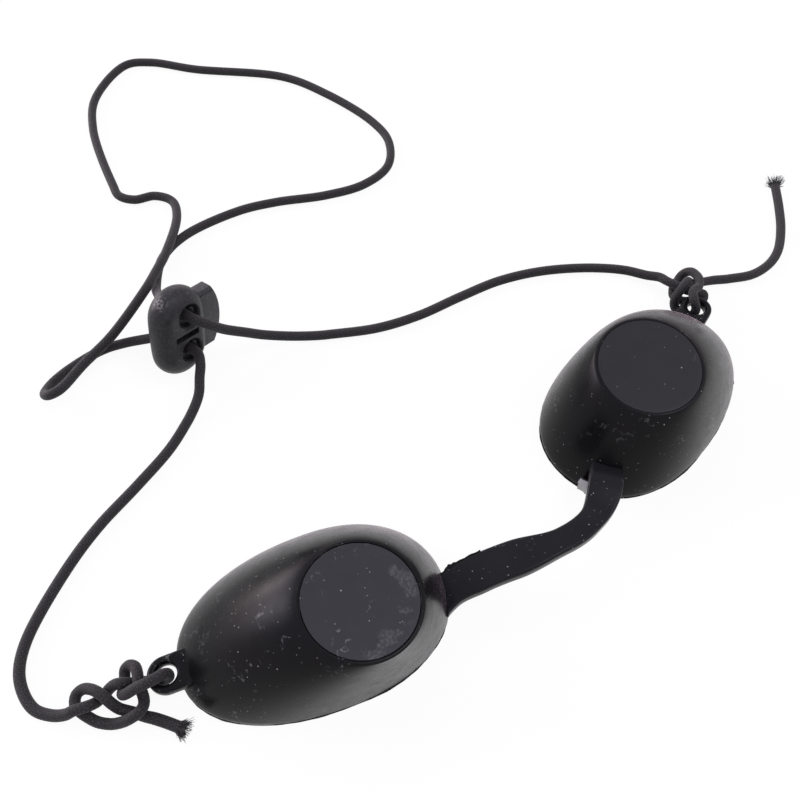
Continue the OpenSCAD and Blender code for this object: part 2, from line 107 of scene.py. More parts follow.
class Sheet:
    """Node sheet of one material or of the world, with a short hand for its nodes."""

    def __init__(self, name: str, owner: bpy.types.World | None = None) -> None:
        """Start an empty node sheet.

        Args:
            name: Name of the new material.
            owner: The world that the sheet is for, if it isn't for a new material.
        """
        self.material = owner or bpy.data.materials.new(name)
        self.material.use_nodes = True
        self.tree = self.material.node_tree
        self.tree.nodes.clear()
        self.place = self.add("ShaderNodeTexCoord")
        self.here = self.place.outputs["Object"]

    def add(
        self,
        kind: str,
        inputs: dict[str | int, object] | None = None,
        **settings: object,
    ) -> bpy.types.Node:
        """Add a node and fill in its sockets.

        Args:
            kind: Blender's name for the node.
            inputs: Values or sockets for the node's inputs.
            settings: Attributes of the node itself.

        Returns:
            The new node.
        """
        node = self.tree.nodes.new(kind)
        for key, value in settings.items():
            setattr(node, key, value)
        for key, value in (inputs or {}).items():
            if isinstance(value, bpy.types.NodeSocket):
                self.tree.links.new(value, node.inputs[key])
            else:
                node.inputs[key].default_value = value
        return node

    def math(self, operation: str, *values: object, clamp: bool = False) -> Socket:
        """Result of one Math node over values or sockets.

        Args:
            operation: Name of the operation.
            values: Its inputs, in order.
            clamp: Whether the result is kept between 0 and 1.

        Returns:
            The result.
        """
        inputs = dict(enumerate(values))
        node = self.add("ShaderNodeMath", inputs, operation=operation, use_clamp=clamp)
        return node.outputs[0]

    def ramp(self, value: Socket, low: float, high: float) -> Socket:
        """Value stretched so that low becomes 0 and high becomes 1, smoothly."""
        node = self.add(
            "ShaderNodeMapRange",
            {"Value": value, "From Min": low, "From Max": high},
            interpolation_type="SMOOTHSTEP",
        )
        return node.outputs[0]

    def noise(self, scale: float, detail: float = 3.0, where: Socket | None = None) -> Socket:
        """Noise at scale features a metre, or a unit of where."""
        node = self.add(
            "ShaderNodeTexNoise",
            {"Vector": where or self.here, "Scale": scale, "Detail": detail},
        )
        return node.outputs["Fac"]

    def moved(self, shift: Point, turn: Point = (0, 0, 0), scale: Point = (1, 1, 1)) -> Socket:
        """Object coordinates put through a Mapping node."""
        node = self.add(
            "ShaderNodeMapping",
            {"Vector": self.here, "Location": shift, "Rotation": turn, "Scale": scale},
        )
        return node.outputs[0]

    def round_spot(self, middle: Point, radius: float, core: float) -> Socket:
        """Mask round a place in millimetres: 1 in its core, a share of radius, and 0 past it.

        Args:
            middle: The place.
            radius: Radius of the whole spot, in millimetres.
            core: Share of the radius that is all 1.

        Returns:
            The mask.
        """
        away = self.add(
            "ShaderNodeVectorMath",
            {0: self.here, 1: [c * MM for c in middle]},
            operation="DISTANCE",
        )
        return self.ramp(away.outputs["Value"], radius * MM, core * radius * MM)

    def specks(self, where: Socket, scale: float, radius: float, share: float) -> Socket:
        """Mask of scattered grains.

        Args:
            where: Coordinates that the grains are scattered in.
            scale: Cells along a unit of the coordinates.
            radius: Radius of a grain, in cells.
            share: Share of the cells that hold one.

        Returns:
            A socket that is 1 on a grain and 0 off it.
        """
        cells = self.add("ShaderNodeTexVoronoi", {"Vector": where, "Scale": scale})
        lot = self.add("ShaderNodeSeparateColor", {0: cells.outputs["Color"]})
        size = self.math("MULTIPLY", lot.outputs[1], radius)
        near = self.math("SUBTRACT", size, cells.outputs["Distance"])
        chosen = self.math("LESS_THAN", lot.outputs[0], share)
        return self.math("MULTIPLY", self.ramp(near, 0.0, 0.3 * radius), chosen)

    def blend(self, share: Socket | float, under: object, over: object) -> Socket:
        """Colour over laid on colour under by share."""
        node = self.add("ShaderNodeMix", {0: share, 6: under, 7: over}, data_type="RGBA")
        return node.outputs[2]

    def tones(
        self, mask: Socket, level: float, low: tuple[float, float], high: tuple[float, float]
    ) -> Socket:
        """Grey that wanders between two tones of a level.

        Args:
            mask: Where the second tone lies.
            level: The level.
            low: Share of the level and warmth of the first tone.
            high: Share of the level and warmth of the second.

        Returns:
            The colour.
        """
        first, second = (grey(level * share, warmth) for share, warmth in (low, high))
        return self.blend(mask, first, second)

    def varied(self, mask: Socket, middle: float, width: float) -> Socket:
        """Value that the mask moves through width round middle."""
        return self.math("MULTIPLY_ADD", mask, width, middle - width / 2)

    def bump(self, height: Socket, distance: float, strength: float = 1.0) -> Socket:
        """Normal of a surface raised by height times distance, in metres."""
        node = self.add(
            "ShaderNodeBump", {"Height": height, "Distance": distance, "Strength": strength}
        )
        return node.outputs[0]

    def finish(self, **inputs: object) -> bpy.types.Material:
        """Close the sheet with a principled surface.

        Args:
            inputs: Its sockets by name, with _ for a space.

        Returns:
            The material.
        """
        named = {key.replace("_", " "): value for key, value in inputs.items()}
        surface = self.add("ShaderNodeBsdfPrincipled", named)
        self.add("ShaderNodeOutputMaterial", {"Surface": surface.outputs[0]})
        return self.material


def grey(level: float, warmth: float = 0.0) -> tuple[float, float, float, float]:
    """Near-grey colour of a level, warmer with more red and less blue."""
    return (level * (1 + warmth), level * (1 - 0.4 * abs(warmth)), level * (1 - warmth), 1.0)


@dataclass(frozen=True)
class Rubber:
    """Matte moulded rubber with dust and short lint on it."""

    name: str
    level: float = 0.005
    roughness: float = 0.27
    dust: float = 0.12
    grain: float = 1e-5
    dust_colour: float = 0.4
    lint: float = 0.3
    bloom: float = 0.3
    bloom_spread: float = 0.2
    gloss: float = 0.11

    BLOOM_TINT = (1.0, 0.8, 0.88, 1.0)

    def dusty(self, sheet: Sheet, base: Socket | tuple) -> tuple[Socket, Socket]:
        """Lay dust and lint on a colour.

        Args:
            sheet: The material's sheet.
            base: Colour under the dust.

        Returns:
            The dusted colour and the mask of the dust.
        """
        patches = sheet.ramp(sheet.noise(110.0, detail=3.0), low=0.42, high=0.62)
        fine = sheet.specks(sheet.here, 2300.0, radius=0.34, share=self.dust)
        apart = sheet.moved((0.3, 0.1, 0.2))
        coarse = sheet.specks(apart, 800.0, radius=0.13, share=self.dust * 0.5)
        lint_way = sheet.moved((0.1, 0.4, 0.0), (0.4, 0.2, 0.9), (1.0, 0.16, 1.0))
        lint = sheet.specks(lint_way, 900.0, radius=0.09, share=self.dust * 0.4)
        spots = sheet.math("MAXIMUM", fine, coarse)
        hair = sheet.math("ABSOLUTE", sheet.math("SUBTRACT", sheet.noise(330.0, detail=2.0), 0.5))
        strewn = sheet.noise(150.0, detail=2.0, where=sheet.moved((0.7, 0.2, 0.5)))
        few = sheet.ramp(strewn, low=0.57, high=0.63)
        dots = sheet.ramp(sheet.noise(1500.0, detail=2.0), low=0.44, high=0.58)
        line = sheet.math("MULTIPLY", sheet.ramp(hair, low=0.028, high=0.008), dots)
        strayed = sheet.math("MULTIPLY", line, sheet.math("MULTIPLY", few, self.lint))
        every = sheet.math("MAXIMUM", spots, sheet.math("MAXIMUM", lint, strayed), clamp=True)
        kept = sheet.math("MULTIPLY", every, sheet.math("MULTIPLY_ADD", patches, 0.7, 0.3))
        return sheet.blend(kept, base, grey(self.dust_colour, 0.02)), kept

    def material(self) -> bpy.types.Material:
        """Build the node material.

        Returns:
            The material.
        """
        sheet = Sheet(self.name)
        cloud = sheet.noise(140.0, detail=4.0)
        base = sheet.tones(cloud, self.level, low=(0.8, -0.1), high=(1.35, -0.05))
        colour, dust = self.dusty(sheet, base)
        grain = sheet.noise(5200.0, detail=2.0)
        flow = sheet.noise(420.0, detail=3.0)
        smooth = sheet.varied(flow, self.roughness, width=0.2)
        return sheet.finish(
            Base_Color=colour,
            Roughness=sheet.math("MAXIMUM", smooth, dust),
            Normal=sheet.bump(grain, self.grain),
            Specular_IOR_Level=self.gloss,
            Sheen_Weight=self.bloom,
            Sheen_Roughness=self.bloom_spread,
            Sheen_Tint=self.BLOOM_TINT,
        )


@dataclass(frozen=True)
class ScuffedRubber(Rubber):
    """Rubber of the front discs, rubbed to a paler grey at a few places."""

    level: float = 0.022
    roughness: float = 0.42
    dust: float = 0.05
    grain: float = 1.4e-5
    gloss: float = 0.28
    scuffs: tuple[Point, ...] = ()
    scuff_height: float = 20.3
    scuff_level: float = 0.075

    def material(self) -> bpy.types.Material:
        """Build the node material, with its scuffs at their places on the part.

        Returns:
            The material.
        """
        sheet = Sheet(self.name)
        cloud = sheet.noise(240.0, detail=5.0)
        base = sheet.tones(cloud, self.level, low=(0.8, -0.1), high=(1.3, -0.1))
        flakes = sheet.ramp(sheet.noise(420.0, detail=6.0), low=0.47, high=0.53)
        fine_grit = sheet.ramp(sheet.noise(2100.0, detail=4.0), low=0.45, high=0.58)
        torn = sheet.math("MULTIPLY", flakes, sheet.math("MULTIPLY_ADD", fine_grit, 0.7, 0.3))
        worn: Socket | float = 0.0
        for x, y, radius in self.scuffs:
            near = sheet.round_spot((x, y, self.scuff_height), radius, core=0.6)
            worn = sheet.math("MAXIMUM", worn, sheet.math("MULTIPLY", near, torn))
        rubbed = sheet.math("MULTIPLY", worn, 0.9)
        base = sheet.blend(rubbed, base, grey(self.scuff_level, -0.03))
        colour, dust = self.dusty(sheet, base)
        smooth = sheet.varied(cloud, self.roughness, width=0.14)
        return sheet.finish(
            Base_Color=colour,
            Roughness=sheet.math("MAXIMUM", smooth, dust),
            Normal=sheet.bump(sheet.noise(4200.0, detail=3.0), self.grain),
            Specular_IOR_Level=self.gloss,
        )


@dataclass(frozen=True)
class Plastic:
    """Hard satin plastic of the cord lock, with a fine eroded texture."""

    name: str
    level: float = 0.024
    tint: float = -0.03
    roughness: float = 0.4
    worn_place: Point | None = None
    worn_radius: float = 2.2
    relief: float = 1.6e-5
    gloss: float = 0.25

    def material(self) -> bpy.types.Material:
        """Build the node material.

        Returns:
            The material.
        """
        sheet = Sheet(self.name)
        mottle = sheet.ramp(sheet.noise(1500.0, detail=6.0), low=0.35, high=0.65)
        base = sheet.tones(mottle, self.level, low=(0.75, self.tint), high=(1.25, self.tint))
        specks = sheet.specks(sheet.here, 1500.0, radius=0.3, share=0.1)
        colour = sheet.blend(sheet.math("MULTIPLY", specks, 0.5), base, grey(0.3))
        if self.worn_place:
            near = sheet.round_spot(self.worn_place, self.worn_radius, core=0.2)
            torn = sheet.ramp(sheet.noise(1600.0, detail=6.0), low=0.45, high=0.6)
            colour = sheet.blend(sheet.math("MULTIPLY", near, torn), colour, grey(0.22, 0.03))
        grain = sheet.noise(2600.0, detail=4.0)
        return sheet.finish(
            Base_Color=colour,
            Roughness=sheet.varied(grain, self.roughness, width=0.16),
            Normal=sheet.bump(sheet.math("ADD", grain, mottle), self.relief),
            Specular_IOR_Level=self.gloss,
        )


@dataclass(frozen=True)
class Steel:
    """Thin pressed or drawn steel."""

    name: str
    level: float = 0.58
    roughness: float = 0.3
    relief: float = 6e-6

    def material(self) -> bpy.types.Material:
        """Build the node material, with fine drawn lines and a few dull patches.

        Returns:
            The material.
        """
        sheet = Sheet(self.name)
        drawn = sheet.moved((0, 0, 0), turn=(0, 0, 0.5), scale=(1.0, 9.0, 1.0))
        lines = sheet.noise(700.0, detail=4.0, where=drawn)
        cloud = sheet.noise(160.0, detail=3.0)
        base = sheet.tones(cloud, self.level, low=(0.85, 0.0), high=(1.1, 0.0))
        return sheet.finish(
            Base_Color=base,
            Metallic=1.0,
            Roughness=sheet.varied(lines, self.roughness, width=0.2),
            Normal=sheet.bump(lines, self.relief),
        )


@dataclass(frozen=True)
class BraidedSleeve:
    """Textile sleeve of the elastic cord: the braid's own relief, coloured and fuzzed, with painted
    shade in the braid's hollows.
    """

    name: str
    # deep is painted shade, the near-black colour put in the braid's hollows; high is the yarn's
    # tone on its crests.
    deep: float = 0.004
    high: float = 0.045
    fleck: float = 0.13
    relief: float = 2.5e-5

    def material(self) -> bpy.types.Material:
        """Build the node material on the braid's height and the cord's own length.

        Returns:
            The material.
        """
        sheet = Sheet(self.name)
        weave = sheet.add("ShaderNodeAttribute", attribute_name=Cord.WEAVE).outputs["Fac"]
        along = {"Vector": sheet.place.outputs["UV"], "Scale": (14.0, 1.3, 1.0)}
        yarn = sheet.add("ShaderNodeMapping", along)
        strands = sheet.noise(3.0, detail=3.0, where=yarn.outputs[0])
        cloud = sheet.noise(120.0, detail=2.0)
        rise = sheet.math("MULTIPLY", weave, strands)
        # Painted shade: the braid's hollows are coloured near black, and its crests keep the yarn's
        # lighter tone.
        unshaded_crest = sheet.ramp(rise, low=0.1, high=0.6)
        base = sheet.blend(unshaded_crest, grey(self.deep), grey(self.high, 0.05))
        flecks = sheet.math("MULTIPLY", sheet.ramp(strands, low=0.56, high=0.72), weave)
        warm = sheet.tones(cloud, self.fleck, low=(1.0, 0.12), high=(1.0, -0.08))
        colour = sheet.blend(flecks, base, warm)
        return sheet.finish(
            Base_Color=colour,
            Roughness=0.72,
            Normal=sheet.bump(strands, self.relief),
            Specular_IOR_Level=0.35,
            Sheen_Weight=0.12,
            Sheen_Roughness=0.5,
        )


@dataclass(frozen=True)
class Fibre:
    """Loose fibres where the cord was cut."""

    name: str
    level: float = 0.02

    def material(self) -> bpy.types.Material:
        """Build the node material.

        Returns:
            The material.
        """
        sheet = Sheet(self.name)
        tone = sheet.noise(900.0, detail=3.0)
        colour = sheet.tones(tone, self.level, low=(0.6, 0.0), high=(1.8, 0.04))
        return sheet.finish(
            Base_Color=colour, Roughness=0.65, Sheen_Weight=0.2, Specular_IOR_Level=0.3
        )


def object_from(name: str, bm: bmesh.types.BMesh, sharp: float | None = None) -> bpy.types.Object:
    """Turn a finished bmesh into an object at the origin.

    Args:
        name: Name of the piece.
        bm: Its shape, in metres. It is freed.
        sharp: Angle in degrees from which an edge stays crisp, or None.

    Returns:
        The new object.
    """
    for face in bm.faces:
        face.smooth = True
    mesh = bpy.data.meshes.new(name)
    bm.to_mesh(mesh)
    bm.free()
    if sharp is not None:
        mesh.set_sharp_from_angle(angle=math.radians(sharp))
    made = bpy.data.objects.new(name, mesh)
    bpy.context.scene.collection.objects.link(made)
    return made


def lattice(rows: np.ndarray, ring: bool = False, capped: bool = False) -> bmesh.types.BMesh:
    """Skin rows of points, each row a closed loop.

    Args:
        rows: Points in millimetres, as rows by points by three.
        ring: Whether the last row joins the first.
        capped: Whether the two open ends are filled.

    Returns:
        The closed shape, in metres, with its seams welded and its faces outwards.
    """
    closed = np.concatenate([rows, rows[:, :1]], axis=1)
    if ring:
        closed = np.concatenate([closed, closed[:1]], axis=0)
    count, around = closed.shape[:2]
    bm = bmesh.new()
    bm.loops.layers.uv.new("UVMap")
    bmesh.ops.create_grid(
        bm, x_segments=around - 1, y_segments=count - 1, size=0.5, calc_uvs=True
    )
    for vert in bm.verts:
        column = round((vert.co.x + 0.5) * (around - 1))
        row = round((vert.co.y + 0.5) * (count - 1))
        vert.co = closed[row, column] * MM
    bmesh.ops.remove_doubles(bm, verts=bm.verts, dist=WELD)
    if capped:
        bmesh.ops.holes_fill(bm, edges=[e for e in bm.edges if e.is_boundary])
    bmesh.ops.recalc_face_normals(bm, faces=bm.faces)
    return bm


def between(
    first: np.ndarray, second: np.ndarray, low: float, high: float, at: np.ndarray
) -> np.ndarray:
    """Places on the way from first at low to second at high."""
    return (first * (high - at) + second * (at - low)) / (high - low)


def laid(*points: tuple[float, ...]) -> tuple[Point, ...]:
    """Route whose points without a height of their own lie on the table."""
    return tuple((*point, CORD_REST)[:3] for point in points)


def rounded(edge: float, turns: Iterable[float] = QUARTER) -> list[tuple[float, float]]:
    """Steps round a rounded edge: how far in and how far down each one lies."""
    return [(edge * (1 - math.sin(q)), edge * (1 - math.cos(q))) for q in turns]


def smooth_route(points: Sequence[Point], step: float) -> np.ndarray:
    """Line of even steps through a route's points, rounded between them.

    Args:
        points: The route, in millimetres.
        step: Distance between the line's points.

    Returns:
        The line's points, as rows.
    """
    route = np.array(points, float)
    padded = np.concatenate([[2 * route[0] - route[1]], route, [2 * route[-1] - route[-2]]])
    stretches = []
    for i in range(1, len(padded) - 2):
        a, b, c, d = padded[i - 1 : i + 3]
        spans = (np.linalg.norm(q - p) ** 0.5 for p, q in ((a, b), (b, c), (c, d)))
        k0, k1, k2, k3 = np.cumsum([0, *spans])
        t = np.linspace(k1, k2, 24, endpoint=False)[:, None]
        bc = between(b, c, k1, k2, t)
        low = between(between(a, b, k0, k1, t), bc, k0, k2, t)
        high = between(bc, between(c, d, k2, k3, t), k1, k3, t)
        stretches.append(between(low, high, k1, k2, t))
    dense = np.concatenate([*stretches, route[-1:]])
    run = np.concatenate([[0], np.cumsum(np.linalg.norm(np.diff(dense, axis=0), axis=1))])
    marks = np.linspace(0, run[-1], max(3, round(run[-1] / step) + 1))
    return np.stack([np.interp(marks, run, dense[:, k]) for k in range(3)], axis=1)


def tube_rows(line: np.ndarray, radii: np.ndarray) -> np.ndarray:
    """Rings of a tube, carried along its line without a twist.

    Args:
        line: Points along the middle.
        radii: Radius at each point and each place round it.

    Returns:
        The rings, as rows by places by three.
    """
    ahead = np.gradient(line, axis=0)
    ahead /= np.linalg.norm(ahead, axis=1, keepdims=True)
    side = np.cross(ahead[0], (0.0, 0.0, 1.0))
    if np.linalg.norm(side) < 0.1:
        side = np.cross(ahead[0], (1.0, 0.0, 0.0))
    angles = np.arange(radii.shape[1]) * FULL_TURN / radii.shape[1]
    rings = []
    for centre, heading, radius in zip(line, ahead, radii):
        side = side - heading * (side @ heading)
        side /= np.linalg.norm(side)
        up = np.cross(side, heading)
        spokes = np.cos(angles)[:, None] * side + np.sin(angles)[:, None] * up
        rings.append(centre + spokes * radius[:, None])
    return np.array(rings)


def add_shape(whole: bmesh.types.BMesh, part: bmesh.types.BMesh) -> None:
    """Add one shape to another.

    Args:
        whole: The shape that takes in the other.
        part: The shape that is added. It is freed.
    """
    mesh = bpy.data.meshes.new("part")
    part.to_mesh(mesh)
    part.free()
    whole.from_mesh(mesh)
    bpy.data.meshes.remove(mesh)


def cut_away(
    piece: bpy.types.Object, tools: Iterable[bmesh.types.BMesh], sharp: float
) -> None:
    """Cut closed shapes out of a piece, for good.

    Args:
        piece: The piece that is cut.
        tools: The shapes that are taken out of it.
        sharp: Angle in degrees from which an edge of what is left stays crisp.
    """
    for number, shape in enumerate(tools):
        tool = object_from(f"cutter_{number}", shape)
        change = piece.modifiers.new("cut", "BOOLEAN")
        change.operation = "DIFFERENCE"
        change.solver = "EXACT"
        change.object = tool
        graph = bpy.context.evaluated_depsgraph_get()
        carved = bpy.data.meshes.new_from_object(piece.evaluated_get(graph))
        piece.modifiers.clear()
        piece.data = carved
        bpy.data.objects.remove(tool)
    for polygon in piece.data.polygons:
        polygon.use_smooth = True
    piece.data.set_sharp_from_angle(angle=math.radians(sharp))


def seat_piece(
    piece: bpy.types.Object,
    finish: bpy.types.Material,
    body: Body = Body.GOGGLES,
    replaces: Sequence[str] = (),
) -> bpy.types.Object:
    """Give a piece its material, its body and the nodes that it stands for.

    Args:
        piece: The piece.
        finish: Its material.
        body: The body that it moves with.
        replaces: The frame's nodes that it stands for.

    Returns:
        The same piece.
    """
    piece.data.materials.clear()
    piece.data.materials.append(finish)
    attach(piece, body.value)
    if replaces:
        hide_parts(*replaces)
    LOG.info("%s: %d faces", piece.name, len(piece.data.polygons))
    return piece


@dataclass
class CupShape:
    """Measures of one eye cup and the formulas of its surfaces."""

    side: Side
    disc_nose: float
    disc_brow: float
    offset: float
    back: float
    toe: float
    ear_turn: float = 0.0
    rim_nose: float = 22.5
    rim_ear: float = 27.5
    rim_brow: float = 16.0
    rim_cheek: float = 17.0
    rim_exponent: float = 2.2
    wall_exponent: float = 1.2
    skirt: float = 1.5
    front_height: float = 20.5
    slope_nose: float = 0.09
    slope_brow: float = 0.10
    wall: float = 1.8
    disc_radius: float = 9.6
    disc_gap: float = 0.25
    disc_thickness: float = 1.6
    seat_lip: float = 0.6
    lip_fall: float = 0.17
    ledge: float = 1.2
    window: float = 7.5
    around: int = 160
    cutter_steps: int = 40
    angles: np.ndarray = field(init=False)

    def __post_init__(self) -> None:
        """Set the places round the cup."""
        self.angles = np.arange(self.around) * FULL_TURN / self.around

    @property
    def front_radius(self) -> float:
        """Radius of the front's edge."""
        return self.disc_radius + self.disc_gap + self.seat_lip

    @property
    def front_thickness(self) -> float:
        """Thickness of the front under the disc and its ledge."""
        return self.disc_thickness + self.ledge

    def rim(self, inset: float) -> np.ndarray:
        """Outline of the rim, drawn in by inset.

        Args:
            inset: How far in from the rim the outline lies.

        Returns:
            Its places in plan.
        """
        power = 2 / self.rim_exponent
        c, s = np.cos(self.angles), np.sin(self.angles)
        x = np.sign(c) * abs(c) ** power * (np.where(c >= 0, self.rim_nose, self.rim_ear) - inset)
        y = np.sign(s) * abs(s) ** power * (np.where(s >= 0, self.rim_brow, self.rim_cheek) - inset)
        return np.stack([x, y], axis=1)

    def front_ring(self, radius: float, drop: float) -> np.ndarray:
        """Circle in the front's plane, drop below it.

        Args:
            radius: Radius of the circle.
            drop: How far it lies below the plane.

        Returns:
            Its points.
        """
        x = self.disc_nose + radius * np.cos(self.angles)
        y = self.disc_brow + radius * np.sin(self.angles)
        return np.stack([x, y, self.front_z(x, y) - drop], axis=1)

    def front_z(self, x: np.ndarray, y: np.ndarray) -> np.ndarray:
        """Height of the front's plane over a place."""
        fall = self.slope_nose * (x - self.disc_nose) + self.slope_brow * (y - self.disc_brow)
        return self.front_height - fall

    def wall_ring(self, rise: float, inset: float, drop: float) -> np.ndarray:
        """Ring of the side wall, at rise from 0 at the skirt to 90 at the front.

        Args:
            rise: Place up the wall, in degrees.
            inset: How far in from the outer wall the ring lies.
            drop: How far the top of its wall lies below the front.

        Returns:
            Its points.
        """
        power = 2 / self.wall_exponent
        w = math.cos(math.radians(rise)) ** power
        s = math.sin(math.radians(rise)) ** power
        low = self.rim(inset)
        top = self.front_ring(self.front_radius - inset, drop)
        plan = top[:, :2] + (low - top[:, :2]) * w
        height = self.skirt + (top[:, 2:] - self.skirt) * s
        return np.concatenate([plan, height], axis=1)

    def foot_ring(self, inset: float, height: float) -> np.ndarray:
        """Ring of the rim's outline at a height."""
        return np.concatenate([self.rim(inset), np.full((self.around, 1), height)], axis=1)

    def placed(self, points: np.ndarray) -> np.ndarray:
        """Points of the cup's own frame, set at its place in the goggles.

        Args:
            points: Points of the cup, in any number of dimensions.

        Returns:
            The same points in the goggles.
        """
        turn = math.radians(180 + self.toe)
        c, s = math.cos(turn), math.sin(turn)
        x = points[..., 0] * c - points[..., 1] * s + self.offset
        y = points[..., 0] * s + points[..., 1] * c + self.back
        return np.stack([x * self.side.value, y, points[..., 2]], axis=-1)

    def solid(self, inset: float, foot: float) -> bmesh.types.BMesh:
        """Closed cup shape without its hollow, as a cutter.

        Args:
            inset: How far inside the cup the shape lies.
            foot: Height of its foot.

        Returns:
            The closed shape.
        """
        rises = np.linspace(0, 90, self.cutter_steps)
        rings = [self.foot_ring(inset, foot), *(self.wall_ring(r, inset, inset) for r in rises)]
        return lattice(self.placed(np.array(rings)), capped=True)


@dataclass
class EyeCup:
    """One moulded eye cup with its cord ear."""

    shape: CupShape
    finish: bpy.types.Material
    edge: float = 0.22
    ear_radius: float = 3.3
    ear_hole: float = 1.9
    ear_thickness: float = 2.4
    ear_lift: float = 2.2
    ear_out: float = 1.8
    ear_run: float = 5.1
    ear_edge: float = 0.6
    seat_edge: float = 0.1
    outer_steps: int = 46
    inner_steps: int = 40
    ear_around: int = 96

    def section(self) -> np.ndarray:
        """Rings round the wall's whole section, from the foot up outside and down inside.

        Returns:
            The rings.
        """
        s, fine = self.shape, self.seat_edge
        rings = [s.foot_ring(s.wall - self.edge, 0.0), s.foot_ring(self.edge, 0.0)]
        rings += [s.foot_ring(*step) for step in rounded(self.edge, QUARTER[1:])]
        for rise in np.linspace(0, 87, self.outer_steps):
            ring = s.wall_ring(rise, 0, 0)
            ring[:, 2] -= s.lip_fall * math.sin(math.radians(rise)) ** 8
            rings.append(ring)
        top = s.front_thickness
        seat = s.disc_radius + s.disc_gap
        flat = seat + fine
        for share in (0.9, 0.7, 0.5, 0.3, 0.1):
            radius = flat + (s.front_radius - flat) * share
            rings.append(s.front_ring(radius, s.lip_fall * share**2))
        rings += [s.front_ring(seat + r, d) for r, d in rounded(fine)]
        rings += [s.front_ring(seat, d) for d in (0.6, s.disc_thickness - 0.05)]
        rings += [s.front_ring(seat - fine, s.disc_thickness)]
        rings += [s.front_ring(s.window + d, s.disc_thickness) for d in (1.2, fine)]
        drops = (fine, 0.6, s.ledge - fine)
        rings += [s.front_ring(s.window, s.disc_thickness + d) for d in drops]
        inner = s.front_radius - s.wall
        rings += [s.front_ring(r, top) for r in (s.window + fine, s.window + 0.8, inner - fine)]
        rises = np.linspace(88, 0, self.inner_steps)
        rings += [s.wall_ring(rise, s.wall, top) for rise in rises]
        rings += [s.foot_ring(s.wall, 0.8), s.foot_ring(s.wall, self.edge)]
        return s.placed(np.array(rings))

    def ear_rows(self) -> np.ndarray:
        """Rings round the ear's section, from the hole out over its top and back below.

        Returns:
            The rings.
        """
        angles = np.arange(self.ear_around) * FULL_TURN / self.ear_around
        c, s = np.cos(angles), np.sin(angles)
        reach = np.minimum(
            self.ear_radius / np.maximum(abs(s), 1e-6), self.ear_run / np.maximum(c, 1e-6)
        )
        outer = np.where(c > 0, reach, self.ear_radius)
        low, high = self.ear_lift, self.ear_lift + self.ear_thickness
        e = self.ear_edge
        steps = rounded(e, np.radians([0, 30, 60, 90]))
        spans: list[tuple[float, float, float]] = [(0.0, 0.0, low + e), (0.0, 0.0, high - e)]
        spans += [(0.0, out, high - down) for down, out in steps[1:]]
        spans += [(1.0, -out, high - down) for out, down in steps]
        spans += [(1.0, -out, low + up) for up, out in steps]
        spans += [(0.0, out, low + up) for out, up in steps[:-1]]
        rings = []
        for share, shift, height in spans:
            radius = self.ear_hole + (outer - self.ear_hole) * share + shift
            x = radius * c - (self.shape.rim_ear + self.ear_out)
            rings.append(np.stack([x, radius * s, np.full(len(c), height)], axis=1))
        rows = np.array(rings)
        turn = math.radians(self.shape.ear_turn)
        plan = rows[..., :2] @ np.array(
            [[math.cos(turn), math.sin(turn)], [-math.sin(turn), math.cos(turn)]]
        )
        return self.shape.placed(np.concatenate([plan, rows[..., 2:]], axis=-1))

    def build(self) -> bpy.types.Object:
        """Build and seat the cup.

        Returns:
            The cup.
        """
        side = self.shape.side.label
        shell = lattice(self.section(), ring=True)
        add_shape(shell, lattice(self.ear_rows(), ring=True))
        cup = object_from(f"{side}_cup_moulding", shell, sharp=50)
        return seat_piece(cup, self.finish, replaces=[f"{side}_eyecup"])


@dataclass
class FrontDisc:
    """Round disc set flush in a cup's front."""

    shape: CupShape
    finish: bpy.types.Material
    groove: float
    edge: float = 0.12

    @property
    def radius(self) -> float:
        """Radius of the disc, which leaves the groove in its seat."""
        return self.shape.disc_radius + self.shape.disc_gap - self.groove

    def build(self) -> bpy.types.Object:
        """Build and seat the disc.

        Returns:
            The disc.
        """
        s = self.shape
        rings = [s.front_ring(r, s.disc_thickness) for r in (0.0, 5.0, self.radius - 0.1)]
        rings += [s.front_ring(self.radius, d) for d in (s.disc_thickness - 0.1, 0.8)]
        rings += [s.front_ring(self.radius - r, d) for d, r in rounded(self.edge)]
        rings += [s.front_ring(self.radius * k, 0.0) for k in (0.9, 0.7, 0.4, 0.15, 0.0)]
        side = s.side.label
        disc = object_from(f"{side}_disc_face", lattice(s.placed(np.array(rings))), sharp=50)
        return seat_piece(disc, self.finish, replaces=[f"{side}_front_disc"])


